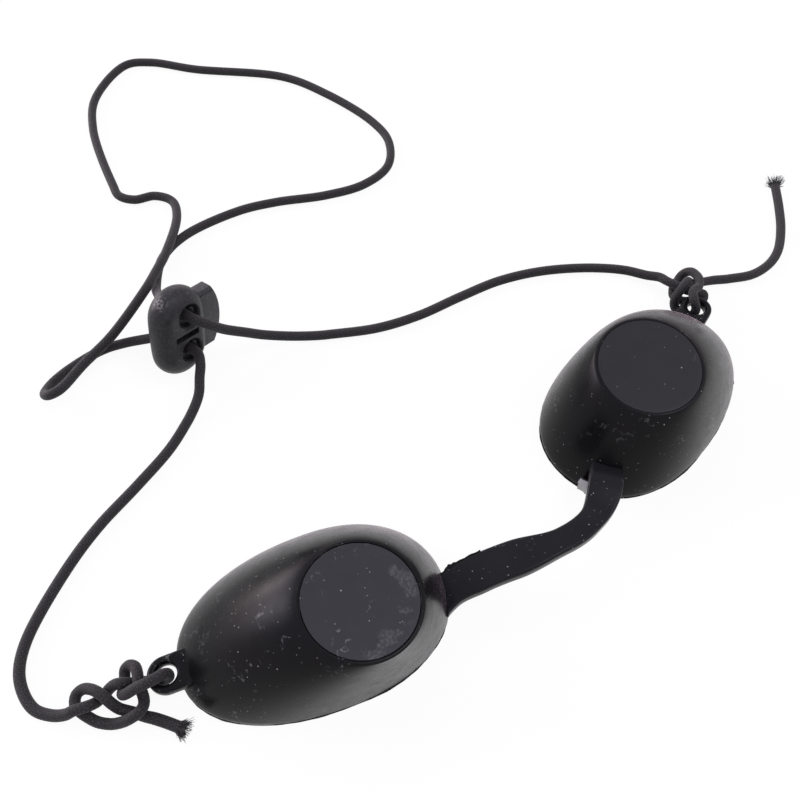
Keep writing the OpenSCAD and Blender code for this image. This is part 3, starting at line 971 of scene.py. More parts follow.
@dataclass
class InnerShield:
    """Thin metal shield that lines a cup, with the tab that shows at its nose end."""

    shape: CupShape
    finish: bpy.types.Material
    thickness: float = 0.5
    gap: float = 0.1
    lift: float = 1.0
    tab_sheet: float = 0.28
    tab_side: tuple[float, float] = (1.6, 4.2)
    crumple: float = 0.1
    wall_steps: int = 36

    TAB = (
        (19.9, 0.9), (21.2, 0.85), (22.4, 0.85), (22.9, 1.0), (23.1, 1.6), (23.0, 2.6),
        (22.8, 3.6), (22.6, 4.6), (22.7, 5.0), (23.2, 5.2), (23.9, 5.0),
    )

    def tab(self) -> bmesh.types.BMesh:
        """Small bent and crumpled tab past the cup's rim, beside the strap.

        Returns:
            The closed tab.
        """
        rows = []
        for k, (x, z) in enumerate(self.TAB):
            sway = self.crumple * math.sin(2.1 * k)
            loop = []
            for side in (0, 1):
                for y in np.linspace(*self.tab_side, 7)[:: 1 - 2 * side]:
                    wave = math.sin(3.1 * y + 0.9 * k) + 0.5 * math.sin(7.3 * y - k)
                    dent = self.crumple * wave * min(k / 3, 1)
                    loop.append((x + dent + self.tab_sheet * side, y + sway, z - 0.1 * side))
            rows.append(loop)
        return lattice(self.shape.placed(np.array(rows)), capped=True)

    def build(self) -> bpy.types.Object:
        """Build and seat the shield.

        Returns:
            The shield.
        """
        s = self.shape
        near = s.wall + self.gap
        far = near + self.thickness
        over = s.front_thickness + self.gap
        under = over + self.thickness
        rises = np.linspace(0, 90, self.wall_steps)
        rings = [s.front_ring(r, under) for r in (0.0, 4.0, s.front_radius - far - 0.4)]
        rings += [s.wall_ring(rise, far, under) for rise in rises[::-1]]
        rings += [s.foot_ring(far, self.lift), s.foot_ring(near, self.lift)]
        rings += [s.wall_ring(rise, near, over) for rise in rises]
        rings += [s.front_ring(r, over) for r in (s.front_radius - near - 0.4, 4.0, 0.0)]
        shell = lattice(s.placed(np.array(rings)))
        add_shape(shell, self.tab())
        side = s.side.label
        made = object_from(f"{side}_shield_sheet", shell, sharp=35)
        return seat_piece(made, self.finish, replaces=[f"{side}_inner_shield"])


@dataclass
class NoseStrap:
    """Bowed strap over the nose, moulded in one with both cups."""

    left: CupShape
    right: CupShape
    finish: bpy.types.Material
    width_left: float = 6.9
    width_right: float = 4.8
    taper_start: float = 0.35
    taper_run: float = 0.25
    thickness: float = 2.6
    low: float = 6.0
    high: float = 9.0
    bow: float = 4.8
    lean: float = 4.8
    shift: float = 0.5
    root: float = 19.0
    root_brow: float = 10.2
    corner: float = 0.55
    overrun: float = 1.16
    root_flare: float = 1.7
    root_climb: float = 2.6
    root_pinch: float = 0.7
    tongue: float = 3.0
    sunk: float = 0.35
    steps: int = 160
    corner_steps: int = 7

    FLARE_SPAN = (0.5, 0.9)
    CLIMB_SPAN = (0.62, 1.02)
    PINCH_SPAN = (0.68, 1.0)
    TONGUE_START, TONGUE_RUN = 0.94, 0.22
    CUT_FOOT = -2.0

    def middle(self, t: float) -> np.ndarray:
        """Middle of the strap's top at share t, from -1 at the left root to 1.

        Args:
            t: The share.

        Returns:
            The point.
        """
        climb = self.root_climb * self.ease(t, *self.CLIMB_SPAN)
        pinch = 0.45 * self.root_pinch * self.ease(-t, *self.PINCH_SPAN)
        bow = (self.bow + self.lean * t) * (1 - t * t)
        x = self.shift + self.root * t
        y = self.left.back - self.root_brow - bow + pinch
        return np.array([x, y, self.high - (self.high - self.low) * t * t + climb])

    @staticmethod
    def ease(value: float, low: float, high: float) -> float:
        """Smooth step from 0 at low to 1 at high."""
        q = min(max((value - low) / (high - low), 0.0), 1.0)
        return q * q * (3 - 2 * q)

    def width(self, t: float) -> float:
        """Width at share t, narrowing between its two halves and filleted at the right root.

        Args:
            t: The share.

        Returns:
            The width.
        """
        start = -self.taper_start
        change = self.width_right - self.width_left
        body = self.width_left + change * self.ease(t, start, start + 2 * self.taper_run)
        flare = self.root_flare * self.ease(t, *self.FLARE_SPAN)
        tongue = self.tongue * max((t - self.TONGUE_START) / self.TONGUE_RUN, 0.0) ** 2
        return body + flare - tongue - self.root_pinch * self.ease(-t, *self.PINCH_SPAN)

    def section(self, width: float) -> list[tuple[float, float]]:
        """Outline of the section, across its width and down from the top.

        Args:
            width: Width of the strap.

        Returns:
            The outline, as places across and up.
        """
        half, deep, c = width / 2, self.thickness, self.corner
        points = []
        for x, z, start in (
            (half - c, -c, 0),
            (-half + c, -c, 90),
            (-half + c, c - deep, 180),
            (half - c, c - deep, 270),
        ):
            for turn in np.radians(np.linspace(start, start + 90, self.corner_steps)):
                points.append((x + c * math.cos(turn), z + c * math.sin(turn)))
        return points

    def point(self, t: float, aside: float, rise: float) -> np.ndarray:
        """Place at share t, aside from the strap's middle and above its top."""
        heading = math.atan2(2 * self.bow * t - self.lean * (1 - 3 * t * t), self.root)
        return self.middle(t) + (-math.sin(heading) * aside, math.cos(heading) * aside, rise)

    def build(self) -> bpy.types.Object:
        """Build and seat the strap.

        Returns:
            The strap.
        """
        rows = []
        for t in np.linspace(-self.overrun, self.overrun, self.steps):
            rows.append([self.point(t, a, d) for a, d in self.section(self.width(t))])
        strap = object_from("nose_strap_moulding", lattice(np.array(rows), capped=True), sharp=40)
        cups = [cup.solid(self.sunk, self.CUT_FOOT) for cup in (self.left, self.right)]
        cut_away(strap, cups, sharp=40)
        return seat_piece(strap, self.finish, replaces=["nose_bridge"])


@dataclass
class MouldFlash:
    """Thin torn flash that the mould left round the cups' feet and on the strap's edge."""

    cups: tuple[CupShape, ...]
    strap: NoseStrap
    finish: bpy.types.Material
    reach: float = 0.1
    height: float = 0.45
    nib_angle: float = 2.33
    nib_reach: float = 0.5
    nib_turn: float = 0.03
    strip_steps: int = 70

    def foot(self, cup: CupShape) -> bmesh.types.BMesh:
        """Ragged fin round one cup's foot, with a nib on the right one.

        Args:
            cup: The cup.

        Returns:
            The closed fin.
        """
        a = cup.angles
        ragged = np.sin(3 * a + 1) * np.sin(7 * a + 2) + 0.5 * np.sin(31 * a) * np.sin(13 * a)
        out = self.reach * (1 + np.maximum(ragged, -0.8))
        if cup.side is Side.RIGHT:
            out += self.nib_reach * np.exp(-(((a - self.nib_angle) / self.nib_turn) ** 2))
        inner = cup.rim(0.4)
        edge = cup.rim(0.0)
        outward = (edge - inner) / np.linalg.norm(edge - inner, axis=1)[:, None]
        tip = edge + outward * out[:, None]
        section = ((inner, -0.12), (tip, -0.03), (tip, 0.03), (inner, 0.12))
        rows = [
            np.concatenate([plan, np.full((len(a), 1), self.height + rise)], axis=1)
            for plan, rise in section
        ]
        return lattice(cup.placed(np.array(rows)), ring=True)

    def edge(self) -> bmesh.types.BMesh:
        """Torn strip on the strap's far edge by the left cup.

        Returns:
            The closed strip.
        """
        rows = []
        for t in np.linspace(-1.04, -0.6, self.strip_steps):
            half = self.strap.width(t) / 2
            chip = 0.5 * math.exp(-(((t + 1.0) / 0.018) ** 2))
            tear = 0.75 + 0.25 * math.sin(140 * t)
            flap = 0.45 * math.exp(-(((t + 0.88) / 0.05) ** 4)) * tear
            tip = half + (0.05 + chip + flap + 0.06 * math.sin(61 * t))
            section = ((half - 0.5, -0.1), (half - 0.2, 0.02), (tip, 0.12), (tip, 0.0))
            rows.append([self.strap.point(t, a, d) for a, d in section])
        return lattice(np.array(rows), capped=True)

    def build(self) -> bpy.types.Object:
        """Build and seat the flash as one piece.

        Returns:
            The flash.
        """
        whole = self.edge()
        for cup in self.cups:
            add_shape(whole, self.foot(cup))
        return seat_piece(object_from("mould_flash", whole, sharp=40), self.finish)


@dataclass
class Cord:
    """One stretch of the braided elastic cord, with the knot and tail on it."""

    name: str
    route: tuple[Point, ...]
    exit: Point
    far_end: str
    replaces: tuple[str, ...]
    finish: bpy.types.Material
    knot: tuple[int, int] | None = None
    diameter: float = 2.1
    knot_diameter: float = 1.98
    ring_step: float = 0.125
    around: int = 32
    yarns: int = 8
    yarn_pitch: float = 0.5
    relief: float = 0.05

    WEAVE = "weave"
    PATH_STRIDE = 4

    def line(self) -> np.ndarray:
        """Middle of the cord in even steps, kept up on the table.

        Returns:
            The points of the middle.
        """
        line = smooth_route(self.route, self.ring_step)
        line[:, 2] = np.maximum(line[:, 2], (self.diameter + self.relief) / 2)
        return line

    def radii(self, line: np.ndarray) -> np.ndarray:
        """Radius at each point of the line, less where the knot draws the cord tight.

        Args:
            line: The points.

        Returns:
            A radius for each.
        """
        plain = np.full(len(line), self.diameter / 2)
        if not self.knot:
            return plain
        ends = [np.array(self.route[i]) for i in self.knot]
        marks = [int(np.argmin(np.linalg.norm(line - end, axis=1))) for end in ends]
        place = np.arange(len(line)) * self.ring_step
        low, high = (mark * self.ring_step for mark in sorted(marks))
        inside = np.clip((place - low) / 2, 0, 1) * np.clip((high - place) / 2, 0, 1)
        return plain - (self.diameter - self.knot_diameter) / 2 * inside

    def weave(self, count: int) -> np.ndarray:
        """Height of the braid from 0 to 1, at each ring and place round it.

        Args:
            count: Number of rings.

        Returns:
            The heights, as rings by places.
        """
        turn = np.arange(self.around)[None, :] / self.around
        run = np.arange(count)[:, None] * self.ring_step / self.yarn_pitch / 2
        one = self.yarns * turn + run
        other = self.yarns * turn - run
        over = 0.5 + 0.5 * np.sin(math.pi * (one + other)) * np.cos(math.pi * (one - other))
        first = abs(np.cos(math.pi * one)) * over
        second = abs(np.cos(math.pi * other)) * (1 - over)
        return np.maximum(first, second)

    def build(self) -> bpy.types.Object:
        """Build and seat this stretch of the cord.

        Returns:
            The stretch.
        """
        line = self.line()
        height = self.weave(len(line))
        radii = self.radii(line)[:, None] + self.relief * (height - 0.5)
        piece = object_from(self.name, lattice(tube_rows(line, radii), capped=True))
        self.mark(piece.data, line, height)
        return seat_piece(piece, self.finish, replaces=self.replaces)

    def mark(self, mesh: bpy.types.Mesh, line: np.ndarray, height: np.ndarray) -> None:
        """Store the braid's height at each point, and the cord's length in its UV map.

        Args:
            mesh: The tube's mesh.
            line: The cord's middle.
            height: The braid's height at each ring and place.
        """
        uv = mesh.uv_layers[0].data
        flat = np.zeros(len(uv) * 2, np.float32)
        uv.foreach_get("uv", flat)
        places = flat.reshape(-1, 2)
        corners = np.zeros(len(mesh.loops), np.int32)
        mesh.loops.foreach_get("vertex_index", corners)
        rows = np.rint(places[:, 1] * (len(line) - 1)).astype(int)
        columns = np.rint(places[:, 0] * self.around).astype(int) % self.around
        values = np.zeros(len(mesh.vertices), np.float32)
        values[corners] = height[rows, columns]
        mesh.attributes.new(self.WEAVE, "FLOAT", "POINT").data.foreach_set("value", values)
        places[:, 1] *= len(line) * self.ring_step
        uv.foreach_set("uv", places.ravel())

    def declare(self) -> None:
        """Work out the cord's middle line, which is then left unused.
        """
        line = self.line()


@dataclass
class FrayedEnd:
    """Cut end of the cord, where its yarns and rubber core have come apart."""

    name: str
    end: Point
    heading: Point
    finish: bpy.types.Material
    seed: int
    fibres: int = 240
    reach: float = 2.6
    spread: float = 1.25
    thickness: float = 0.12
    steps: int = 9
    around: int = 5

    def fibre(self, rng: random.Random) -> np.ndarray:
        """Rings of one bent fibre.

        Args:
            rng: Source of its random bends.

        Returns:
            The rings.
        """
        ahead = Vector(self.heading).normalized()
        side = ahead.orthogonal().normalized()
        turned = Matrix.Rotation(rng.uniform(0, FULL_TURN), 3, ahead)
        out = turned @ side
        start = Vector(self.end) + out * rng.uniform(0.2, 0.95) - ahead * 0.8
        length = self.reach * rng.uniform(0.45, 1.0)
        flare = self.spread * rng.uniform(0.15, 1.0)
        curl = turned @ ahead.cross(side) * rng.uniform(-0.8, 0.8)
        wave, phase = rng.uniform(0.05, 0.22), rng.uniform(0, FULL_TURN)
        points = []
        for share in np.linspace(0, 1, self.steps):
            bend = out * (flare * share**1.5 + wave * math.sin(phase + 7 * share) * share)
            points.append(start + ahead * (length * share) + bend + curl * share**2)
        line = np.array([[p.x, p.y, max(p.z, self.thickness)] for p in points])
        taper = np.linspace(1, 0.45, self.steps)
        radii = np.outer(taper, np.full(self.around, self.thickness / 2))
        return tube_rows(line, radii)

    def build(self) -> bpy.types.Object:
        """Build and seat the frayed end.

        Returns:
            The frayed end.
        """
        rng = random.Random(self.seed)
        whole = bmesh.new()
        for _ in range(self.fibres):
            add_shape(whole, lattice(self.fibre(rng), capped=True))
        return seat_piece(object_from(self.name, whole), self.finish)


@dataclass
class CordLock:
    """Sprung cord lock: rounded body, pressed button and spring, made in the lock's own frame.

    X runs along the cord holes, Y along the button's travel and Z across the holes.
    """

    body_finish: bpy.types.Material
    button_finish: bpy.types.Material
    spring_finish: bpy.types.Material
    place: Point = (-29.8, 67.1, 10.5)
    turn: float = -73.0
    rise: float = -6.0
    roll: float = -15.0
    depth: float = 6.4
    width: float = 12.7
    length: float = 20.6
    rounding: float = 3.1
    hole_radius: float = 2.5
    hole_offset: float = 4.35
    cord_place: float = 1.0
    button_depth: float = 2.8
    button_half: float = 7.15
    button_reach: float = 11.0
    crown_radius: float = 13.0
    travel: float = 2.4
    slot_half: float = 1.4
    gap: float = 0.2
    pocket_bottom: float = -4.1
    guide_length: float = 6.2
    guide_width: float = 1.4
    spring_radius: float = 0.675
    spring_wire: float = 0.25
    spring_turns: int = 6
    spring_end: float = 3.2
    button_edge: float = 0.3
    thumb_step: Point = (0.18, 5.2, 1.3)
    body_bends: int = 49
    body_turns: int = 192
    coil_steps: int = 30
    coil_around: int = 10

    SHARP = 32
    SIDES = (-1, 1)
    HOLE_FLARE = ((0.1, 0.75), (-0.12, 0.42), (-0.35, 0.2), (-0.7, 0.06), (-1.1, 0.0))
    FACE_SHARES = (0.4, 0.75)

    def frame(self) -> Matrix:
        """Matrix of the lock's own frame."""
        return (
            Matrix.Translation(self.place)
            @ Matrix.Rotation(math.radians(self.turn), 4, "Z")
            @ Matrix.Rotation(math.radians(self.rise), 4, "Y")
            @ Matrix.Rotation(math.radians(self.roll), 4, "X")
        )

    def placed(self, rows: np.ndarray) -> np.ndarray:
        """Points of the lock's own frame, set at its place in the goggles."""
        matrix = np.array(self.frame())
        return rows @ matrix[:3, :3].T + matrix[:3, 3]

    def rods(
        self, half: float, run: float, profile: Sequence[tuple[float, float]]
    ) -> list[bmesh.types.BMesh]:
        """Rods along X at the two cord holes, with a round or long section, as cutters.

        Args:
            half: Half width of their section.
            run: How much longer than wide the section is, along the travel.
            profile: Place of each ring, and how much wider it is than half.

        Returns:
            The two closed rods.
        """
        start, end = self.cord_place, self.cord_place + run
        turns = np.radians(np.linspace(0, 180, 25))
        ends = [(end, t) for t in turns] + [(start, t + math.pi) for t in turns]
        made = []
        for side in self.SIDES:
            z = side * self.hole_offset
            rows = [
                [(x, y + (half + r) * math.sin(t), z + (half + r) * math.cos(t)) for y, t in ends]
                for x, r in profile
            ]
            made.append(lattice(self.placed(np.array(rows)), capped=True))
        return made

    def block(self, low: Point, high: Point, edge: float = 0.0) -> bmesh.types.BMesh:
        """Box with its edges along X rounded off, as a cutter.

        Args:
            low: Its lowest corner.
            high: Its highest corner.
            edge: Radius of the rounding.

        Returns:
            The closed box.
        """
        e = max(edge, 0.01)
        corners = (
            (low[1] + e, low[2] + e, 180),
            (high[1] - e, low[2] + e, 270),
            (high[1] - e, high[2] - e, 0),
            (low[1] + e, high[2] - e, 90),
        )
        outline = [
            (y + e * math.cos(a), z + e * math.sin(a))
            for y, z, start in corners
            for a in np.radians(np.linspace(start, start + 90, 6))
        ]
        rows = [[(x, *place) for place in outline] for x in (low[0], high[0])]
        return lattice(self.placed(np.array(rows)), capped=True)

    def shell(self) -> bmesh.types.BMesh:
        """Pillow-shaped body: rings round the X axis, from one face to the other.

        Returns:
            The closed shape.
        """
        tube = self.width / 2 - self.rounding
        spread = (self.length - self.width) / 2
        flat = self.depth / 2 - self.rounding
        bends = np.radians(np.linspace(-90, 90, self.body_bends))
        turns = np.radians(np.linspace(0, 360, self.body_turns, endpoint=False))
        y, z = 0.035 * tube * np.cos(turns), 0.1 * spread * np.sin(turns)
        rows = [np.stack([np.full(len(turns), -self.depth / 2), y, z], axis=1)]
        rows += [self.oval(-self.depth / 2, tube * k, spread * k, turns) for k in self.FACE_SHARES]
        face = rows[::-1]
        for b in bends:
            x = self.rounding * math.sin(b) + math.copysign(flat, math.sin(b))
            rows.append(self.oval(x, tube + self.rounding * math.cos(b), spread, turns))
        rows += [ring * (-1, 1, 1) for ring in face]
        return lattice(self.placed(np.array(rows)), capped=True)

    @staticmethod
    def oval(x: float, radius: float, spread: float, turns: np.ndarray) -> np.ndarray:
        """Ring of two half circles, spread apart across the holes."""
        z = radius * np.sin(turns) + spread * np.tanh(6 * np.sin(turns))
        return np.stack([np.full(len(turns), x), radius * np.cos(turns), z], axis=1)

    def build_body(self) -> bpy.types.Object:
        """Build and seat the body.

        Returns:
            The body.
        """
        body = object_from("lock_body_shell", self.shell())
        wide = self.depth
        flare = [(-wide, 3.4), *((-wide / 2 - out, grow) for out, grow in self.HOLE_FLARE)]
        profile = [*flare, *((-x, grow) for x, grow in flare[::-1])]
        tools = self.rods(self.hole_radius, 0.001, profile)
        half = self.button_depth / 2 + self.gap
        deep = self.button_half + self.gap
        tools.append(self.block((-half, self.pocket_bottom, -deep), (half, self.width, deep), 0.3))
        guide, across = self.guide_length / 2, self.guide_width / 2
        tools.append(self.block((0.0, -guide, -across), (wide, guide, across), 0.25))
        cut_away(body, tools, self.SHARP)
        return seat_piece(body, self.body_finish, replaces=["cord_lock_body"])

    def button_rings(self) -> np.ndarray:
        """Rings of the button's rounded plate, from its back face to its front.

        Returns:
            The rings.
        """
        end = self.pocket_bottom + self.gap + self.travel
        crown, back = self.crown_radius, -self.button_depth / 2
        steps = rounded(self.button_edge, np.radians([90, 67.5, 45, 22.5, 0]))
        spans = [(back + x, inset) for x, inset in steps]
        spans += [(-x, inset) for x, inset in spans[::-1]]
        rows = []
        for x, inset in spans:
            side = self.button_half - inset
            middle = self.button_reach - inset - crown
            lift = middle + math.sqrt(crown**2 - side**2)
            flank = np.linspace(lift, end + inset, 24)[1:]
            ring = [(middle + math.sqrt(crown**2 - z * z), z) for z in np.linspace(-side, side, 60)]
            ring += [(y, side) for y in flank]
            ring += [(end + inset, z) for z in np.linspace(side, -side, 40)[1:]]
            ring += [(y, -side) for y in flank[-2::-1]]
            rows.append([(x, y, z) for y, z in ring])
        return np.array(rows)

    def build_button(self) -> bpy.types.Object:
        """Build and seat the button.

        Returns:
            The button.
        """
        plate = lattice(self.placed(self.button_rings()), capped=True)
        button = object_from("lock_button_plate", plate)
        deep = self.button_depth
        tools = self.rods(self.slot_half, self.travel, [(-deep, 0.0), (deep, 0.0)])
        sunk, start, margin = self.thumb_step
        low = (deep / 2 - sunk, start, self.button_half - margin)
        tools.append(self.block(low, (deep, 2 * self.button_reach, self.width)))
        cut_away(button, tools, self.SHARP)
        nodes = ["cord_lock_button"]
        return seat_piece(button, self.button_finish, Body.BUTTON, nodes)

    def build_spring(self) -> bpy.types.Object:
        """Build and seat the spring, which the button presses together.

        Returns:
            The spring.
        """
        wire = self.spring_wire / 2
        steps = self.coil_steps * self.spring_turns + 1
        turns = np.linspace(0, FULL_TURN * self.spring_turns, steps)
        run = np.linspace(self.pocket_bottom + wire, self.spring_end - wire, len(turns))
        radius = self.spring_radius
        line = np.stack([radius * np.cos(turns), run, radius * np.sin(turns)], axis=1)
        rows = tube_rows(self.placed(line), np.full((len(line), self.coil_around), wire))
        spring = object_from("lock_coil_spring", lattice(rows, capped=True))
        seat_piece(spring, self.spring_finish, replaces=["cord_lock_spring"])
        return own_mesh(spring)

    def build(self) -> list[bpy.types.Object]:
        """Build the lock's three pieces."""
        return [self.build_body(), self.build_button(), self.build_spring()]


@dataclass
class Studio:
    """Pale floor, soft light and the camera at the photograph's angle."""

    camera_place: Point = (-62.9, -54.7, 162.4)
    aim: Point = (1.0, 31.0, 0.0)
    lens: float = 41.49
    sensor: float = 36.0
    floor_size: float = 6.0
    floor_drop: float = 0.02
    floor_level: float = 0.45
    floor_glow: float = 1.16
    floor_share: float = 0.8
    box_edge: float = 45.0
    power: float = 1.6

    WARM = (1.1, 0.93, 0.95, 1.0)
    COOL = (1.0, 0.95, 1.08, 1.0)
    WARM_HEIGHTS = (0.05, 0.32)
    # Elevation and azimuth of each soft box in degrees, and its strength.
    SOFT_BOXES = (
        (4, 0, 0.6), (4, 45, 1.4), (4, 67, 1.6), (6, 108, 6.0), (5, 140, 0.7), (4, 270, 0.3),
        (4, 315, 0.6), (22, 129, 6.0), (22, 180, 0.3), (22, 206, 0.4), (22, 231, 0.5),
        (22, 257, 0.9), (22, 309, 1.5), (22, 334, 0.6), (42, 33, 0.8), (42, 65, 1.9),
        (42, 98, 1.3), (42, 131, 0.5), (42, 196, 0.2), (42, 229, 0.25), (42, 327, 1.4),
        (63, 0, 0.2), (63, 206, 0.5), (63, 309, 3.6), (85, 0, 1.0),
    )

    def build_camera(self) -> None:
        """Set the camera where the photograph was taken from."""
        data = bpy.data.cameras.new("photograph_camera")
        data.lens = self.lens
        data.sensor_width = self.sensor
        data.clip_start = 0.01
        data.clip_end = 20.0
        camera = bpy.data.objects.new("photograph_camera", data)
        camera.location = Vector(self.camera_place) * MM
        sight = Vector(self.aim) - Vector(self.camera_place)
        camera.rotation_mode = "QUATERNION"
        camera.rotation_quaternion = sight.to_track_quat("-Z", "Y")
        bpy.context.scene.collection.objects.link(camera)
        bpy.context.scene.camera = camera

    @staticmethod
    def seen(sheet: Sheet) -> Socket:
        """Socket that is 1 for a ray that shows the surface, straight or in gloss or glass.

        Args:
            sheet: Sheet of the surface.

        Returns:
            The socket.
        """
        path = sheet.add("ShaderNodeLightPath").outputs
        gloss = sheet.math("MAXIMUM", path["Is Glossy Ray"], path["Is Transmission Ray"])
        return sheet.math("MAXIMUM", path["Is Camera Ray"], gloss)

    def build_floor(self) -> None:
        """Lay the white floor, which the camera sees nearly shadowless."""
        bm = bmesh.new()
        bmesh.ops.create_grid(bm, x_segments=1, y_segments=1, size=self.floor_size / 2)
        bmesh.ops.translate(bm, verts=bm.verts, vec=(0, 0, -self.floor_drop * MM))
        floor = object_from("studio_floor", bm)
        sheet = Sheet("white_floor")
        paint = sheet.add("ShaderNodeBsdfDiffuse", {"Color": grey(self.floor_level)})
        white = {"Color": grey(1.0), "Strength": self.floor_glow}
        glow = sheet.add("ShaderNodeEmission", white)
        share = sheet.math("MULTIPLY", self.seen(sheet), self.floor_share)
        mix = sheet.add(
            "ShaderNodeMixShader", {0: share, 1: paint.outputs[0], 2: glow.outputs[0]}
        )
        sheet.add("ShaderNodeOutputMaterial", {"Surface": mix.outputs[0]})
        floor.data.materials.append(sheet.material)

    def build_world(self) -> None:
        """Light the scene from soft boxes all round, warm when low and cool when high."""
        world = bpy.data.worlds.new("studio_world")
        sheet = Sheet(world.name, world)
        towards = sheet.place.outputs["Generated"]
        total: Socket | None = None
        for rise, turn, strength in self.SOFT_BOXES:
            e, a = math.radians(rise), math.radians(turn)
            middle = (math.cos(e) * math.cos(a), math.cos(e) * math.sin(a), math.sin(e))
            near = sheet.add(
                "ShaderNodeVectorMath", {0: towards, 1: middle}, operation="DOT_PRODUCT"
            ).outputs["Value"]
            falling = sheet.math("MULTIPLY_ADD", near, self.box_edge, -self.box_edge)
            glow = sheet.math("EXPONENT", falling)
            total = sheet.math("MULTIPLY_ADD", glow, self.power * strength, total or 0.0)
        height = sheet.add("ShaderNodeSeparateXYZ", {0: towards}).outputs[2]
        colour = sheet.blend(sheet.ramp(height, *self.WARM_HEIGHTS), self.WARM, self.COOL)
        level = sheet.math("MAXIMUM", total, self.seen(sheet))
        back = sheet.add("ShaderNodeBackground", {"Color": colour, "Strength": level})
        sheet.add("ShaderNodeOutputWorld", {"Surface": back.outputs[0]})
        bpy.context.scene.world = world

    def build(self) -> None:
        """Build the whole studio."""
        self.build_camera()
        self.build_floor()
        self.build_world()
        bpy.context.scene.view_settings.view_transform = "Standard"


# Places where the cord enters, crosses and leaves the lock, through its lower and upper holes.
LOWER_FRONT = (-28.5, 62.2, 6.5)
LOWER_MIDDLE = (-29.8, 66.6, 6.1)
LOWER_BACK = (-31.1, 71.0, 5.6)
UPPER_FRONT = (-26.6, 63.7, 14.9)
UPPER_MIDDLE = (-27.9, 68.1, 14.4)
UPPER_BACK = (-29.3, 72.5, 13.9)

# Routes of the cord. A point with two values lies on the table.
LEFT_TAIL = laid(
    (-69.1, -0.7), (-70.5, 1.4),
)
LEFT_KNOT = laid(
    (-83.7, 12.5, 2.3), (-82.3, 11.9, 3.2), (-81, 11.4, 3.4), (-79.9, 11.2, 3),
    (-78.8, 11.4, 1.9), (-77.8, 11.8, 1.1), (-76.7, 12.1, 1.1), (-75.6, 12.1, 2),
    (-74.5, 11.7, 3.1), (-73.5, 11.1, 3.4), (-72.4, 10.7, 2.4), (-71.5, 10.4, 1.3),
    (-70.3, 9.9), (-68.6, 8.7), (-67.1, 7.9, 1.5), (-66.4, 7.5, 2.9),
    (-66.4, 7.5, 4.4), (-67.2, 7.4, 5.6), (-68.7, 7.4, 6), (-70.3, 7.6, 6), (-71.5, 8, 5.6),
    (-72.7, 8.4, 4.8), (-73.7, 8.9, 3.7), (-74.3, 9.7, 2.4), (-74, 10.7, 1.2),
    (-73.4, 11.7), (-72.7, 12.7, 1.1), (-72, 13.6, 1.6), (-71, 13.5, 2.4),
    (-70.3, 12.4, 3.1), (-70.5, 11, 3.5), (-71.1, 9.4, 3.5), (-71.4, 8, 2.9),
    (-71.7, 6.8, 2.6), (-72.2, 5.8, 2.8), (-73.3, 5, 3.3), (-74.8, 5, 3.1), (-76.5, 5.7, 2),
    (-78.3, 6.9, 1.1), (-79.9, 8.5), (-80.9, 10.3), (-81.6, 12.1),
    (-81.7, 13.7), (-80.8, 14.8, 1.4), (-79.4, 14.7, 2.1), (-78.2, 13.5, 2.9),
    (-77.4, 12, 3.4), (-76.9, 10.6, 3.2), (-76.5, 9.4, 2.1), (-75.9, 8.3, 1.1),
    (-75.1, 7.3), (-74.1, 6.1), (-73.1, 4.7), (-71.9, 3.3),
)
LEFT_RUN = laid(
    (-83.7, 12.5, 2.3), (-85.7, 14.1, 1.4), (-87.7, 16.9), (-88.1, 20.5),
    (-87.1, 24.6), (-83.6, 29.2), (-71.8, 37.4), (-63.2, 41.7),
    (-53.1, 45.2), (-43.8, 48.8), (-37, 52.9, 1.1), (-32.8, 55.9, 2.4),
    (-30.8, 58.3, 4.3), (-29.3, 60, 5.9), LOWER_FRONT, LOWER_MIDDLE,
)
BACK_LOOP = laid(
    LOWER_MIDDLE, LOWER_BACK, (-34.3, 74.1, 3.7), (-39.2, 78, 1.6), (-43.5, 79.5),
    (-54, 78.5), (-56.9, 77, 1.6), (-58.5, 74.5, 3.2), (-57.7, 72.3, 5),
    (-55.5, 72, 5.4), (-49, 75.5, 4.6), (-40.5, 79, 4.4), (-29.4, 83.7, 7), (-24.9, 87.6, 6.2),
    (-19.5, 93, 4.8), (-11, 104.5, 1.9), (-9.3, 110.4), (-11.8, 114.4),
    (-16.4, 116.2), (-18.8, 119.6), (-18.3, 124), (-13, 145.5),
    (-6.6, 156.7), (6.1, 164), (12, 161), (20.5, 151),
    (37.9, 134), (43.5, 120.9), (46.8, 104.7), (45.8, 96),
    (40.1, 88.7), (31.5, 87), (22, 89.5), (10.7, 94.9),
    (1.6, 97.8), (-12.9, 98.3), (-20.2, 94.8, 1.6), (-26.1, 86.1, 3.7),
    (-27.7, 80.3, 7.4), UPPER_BACK, UPPER_MIDDLE,
)
RIGHT_RUN = laid(
    UPPER_MIDDLE, UPPER_FRONT, (-25.6, 62.1, 14.9), (-24.3, 61.3, 13.7), (-22.1, 60.9, 11.2),
    (-17.8, 60.3, 7.4), (-14, 59.5, 4.4), (-7.9, 57, 1.8), (-2.2, 53.9),
    (7.9, 48.7), (17.5, 46), (28.1, 44.7), (38.5, 43),
    (48.7, 39.1), (58.7, 32.7), (63.5, 28, 1.3), (65.9, 23.7, 1.9),
    (67.3, 21.1, 2.6),
)
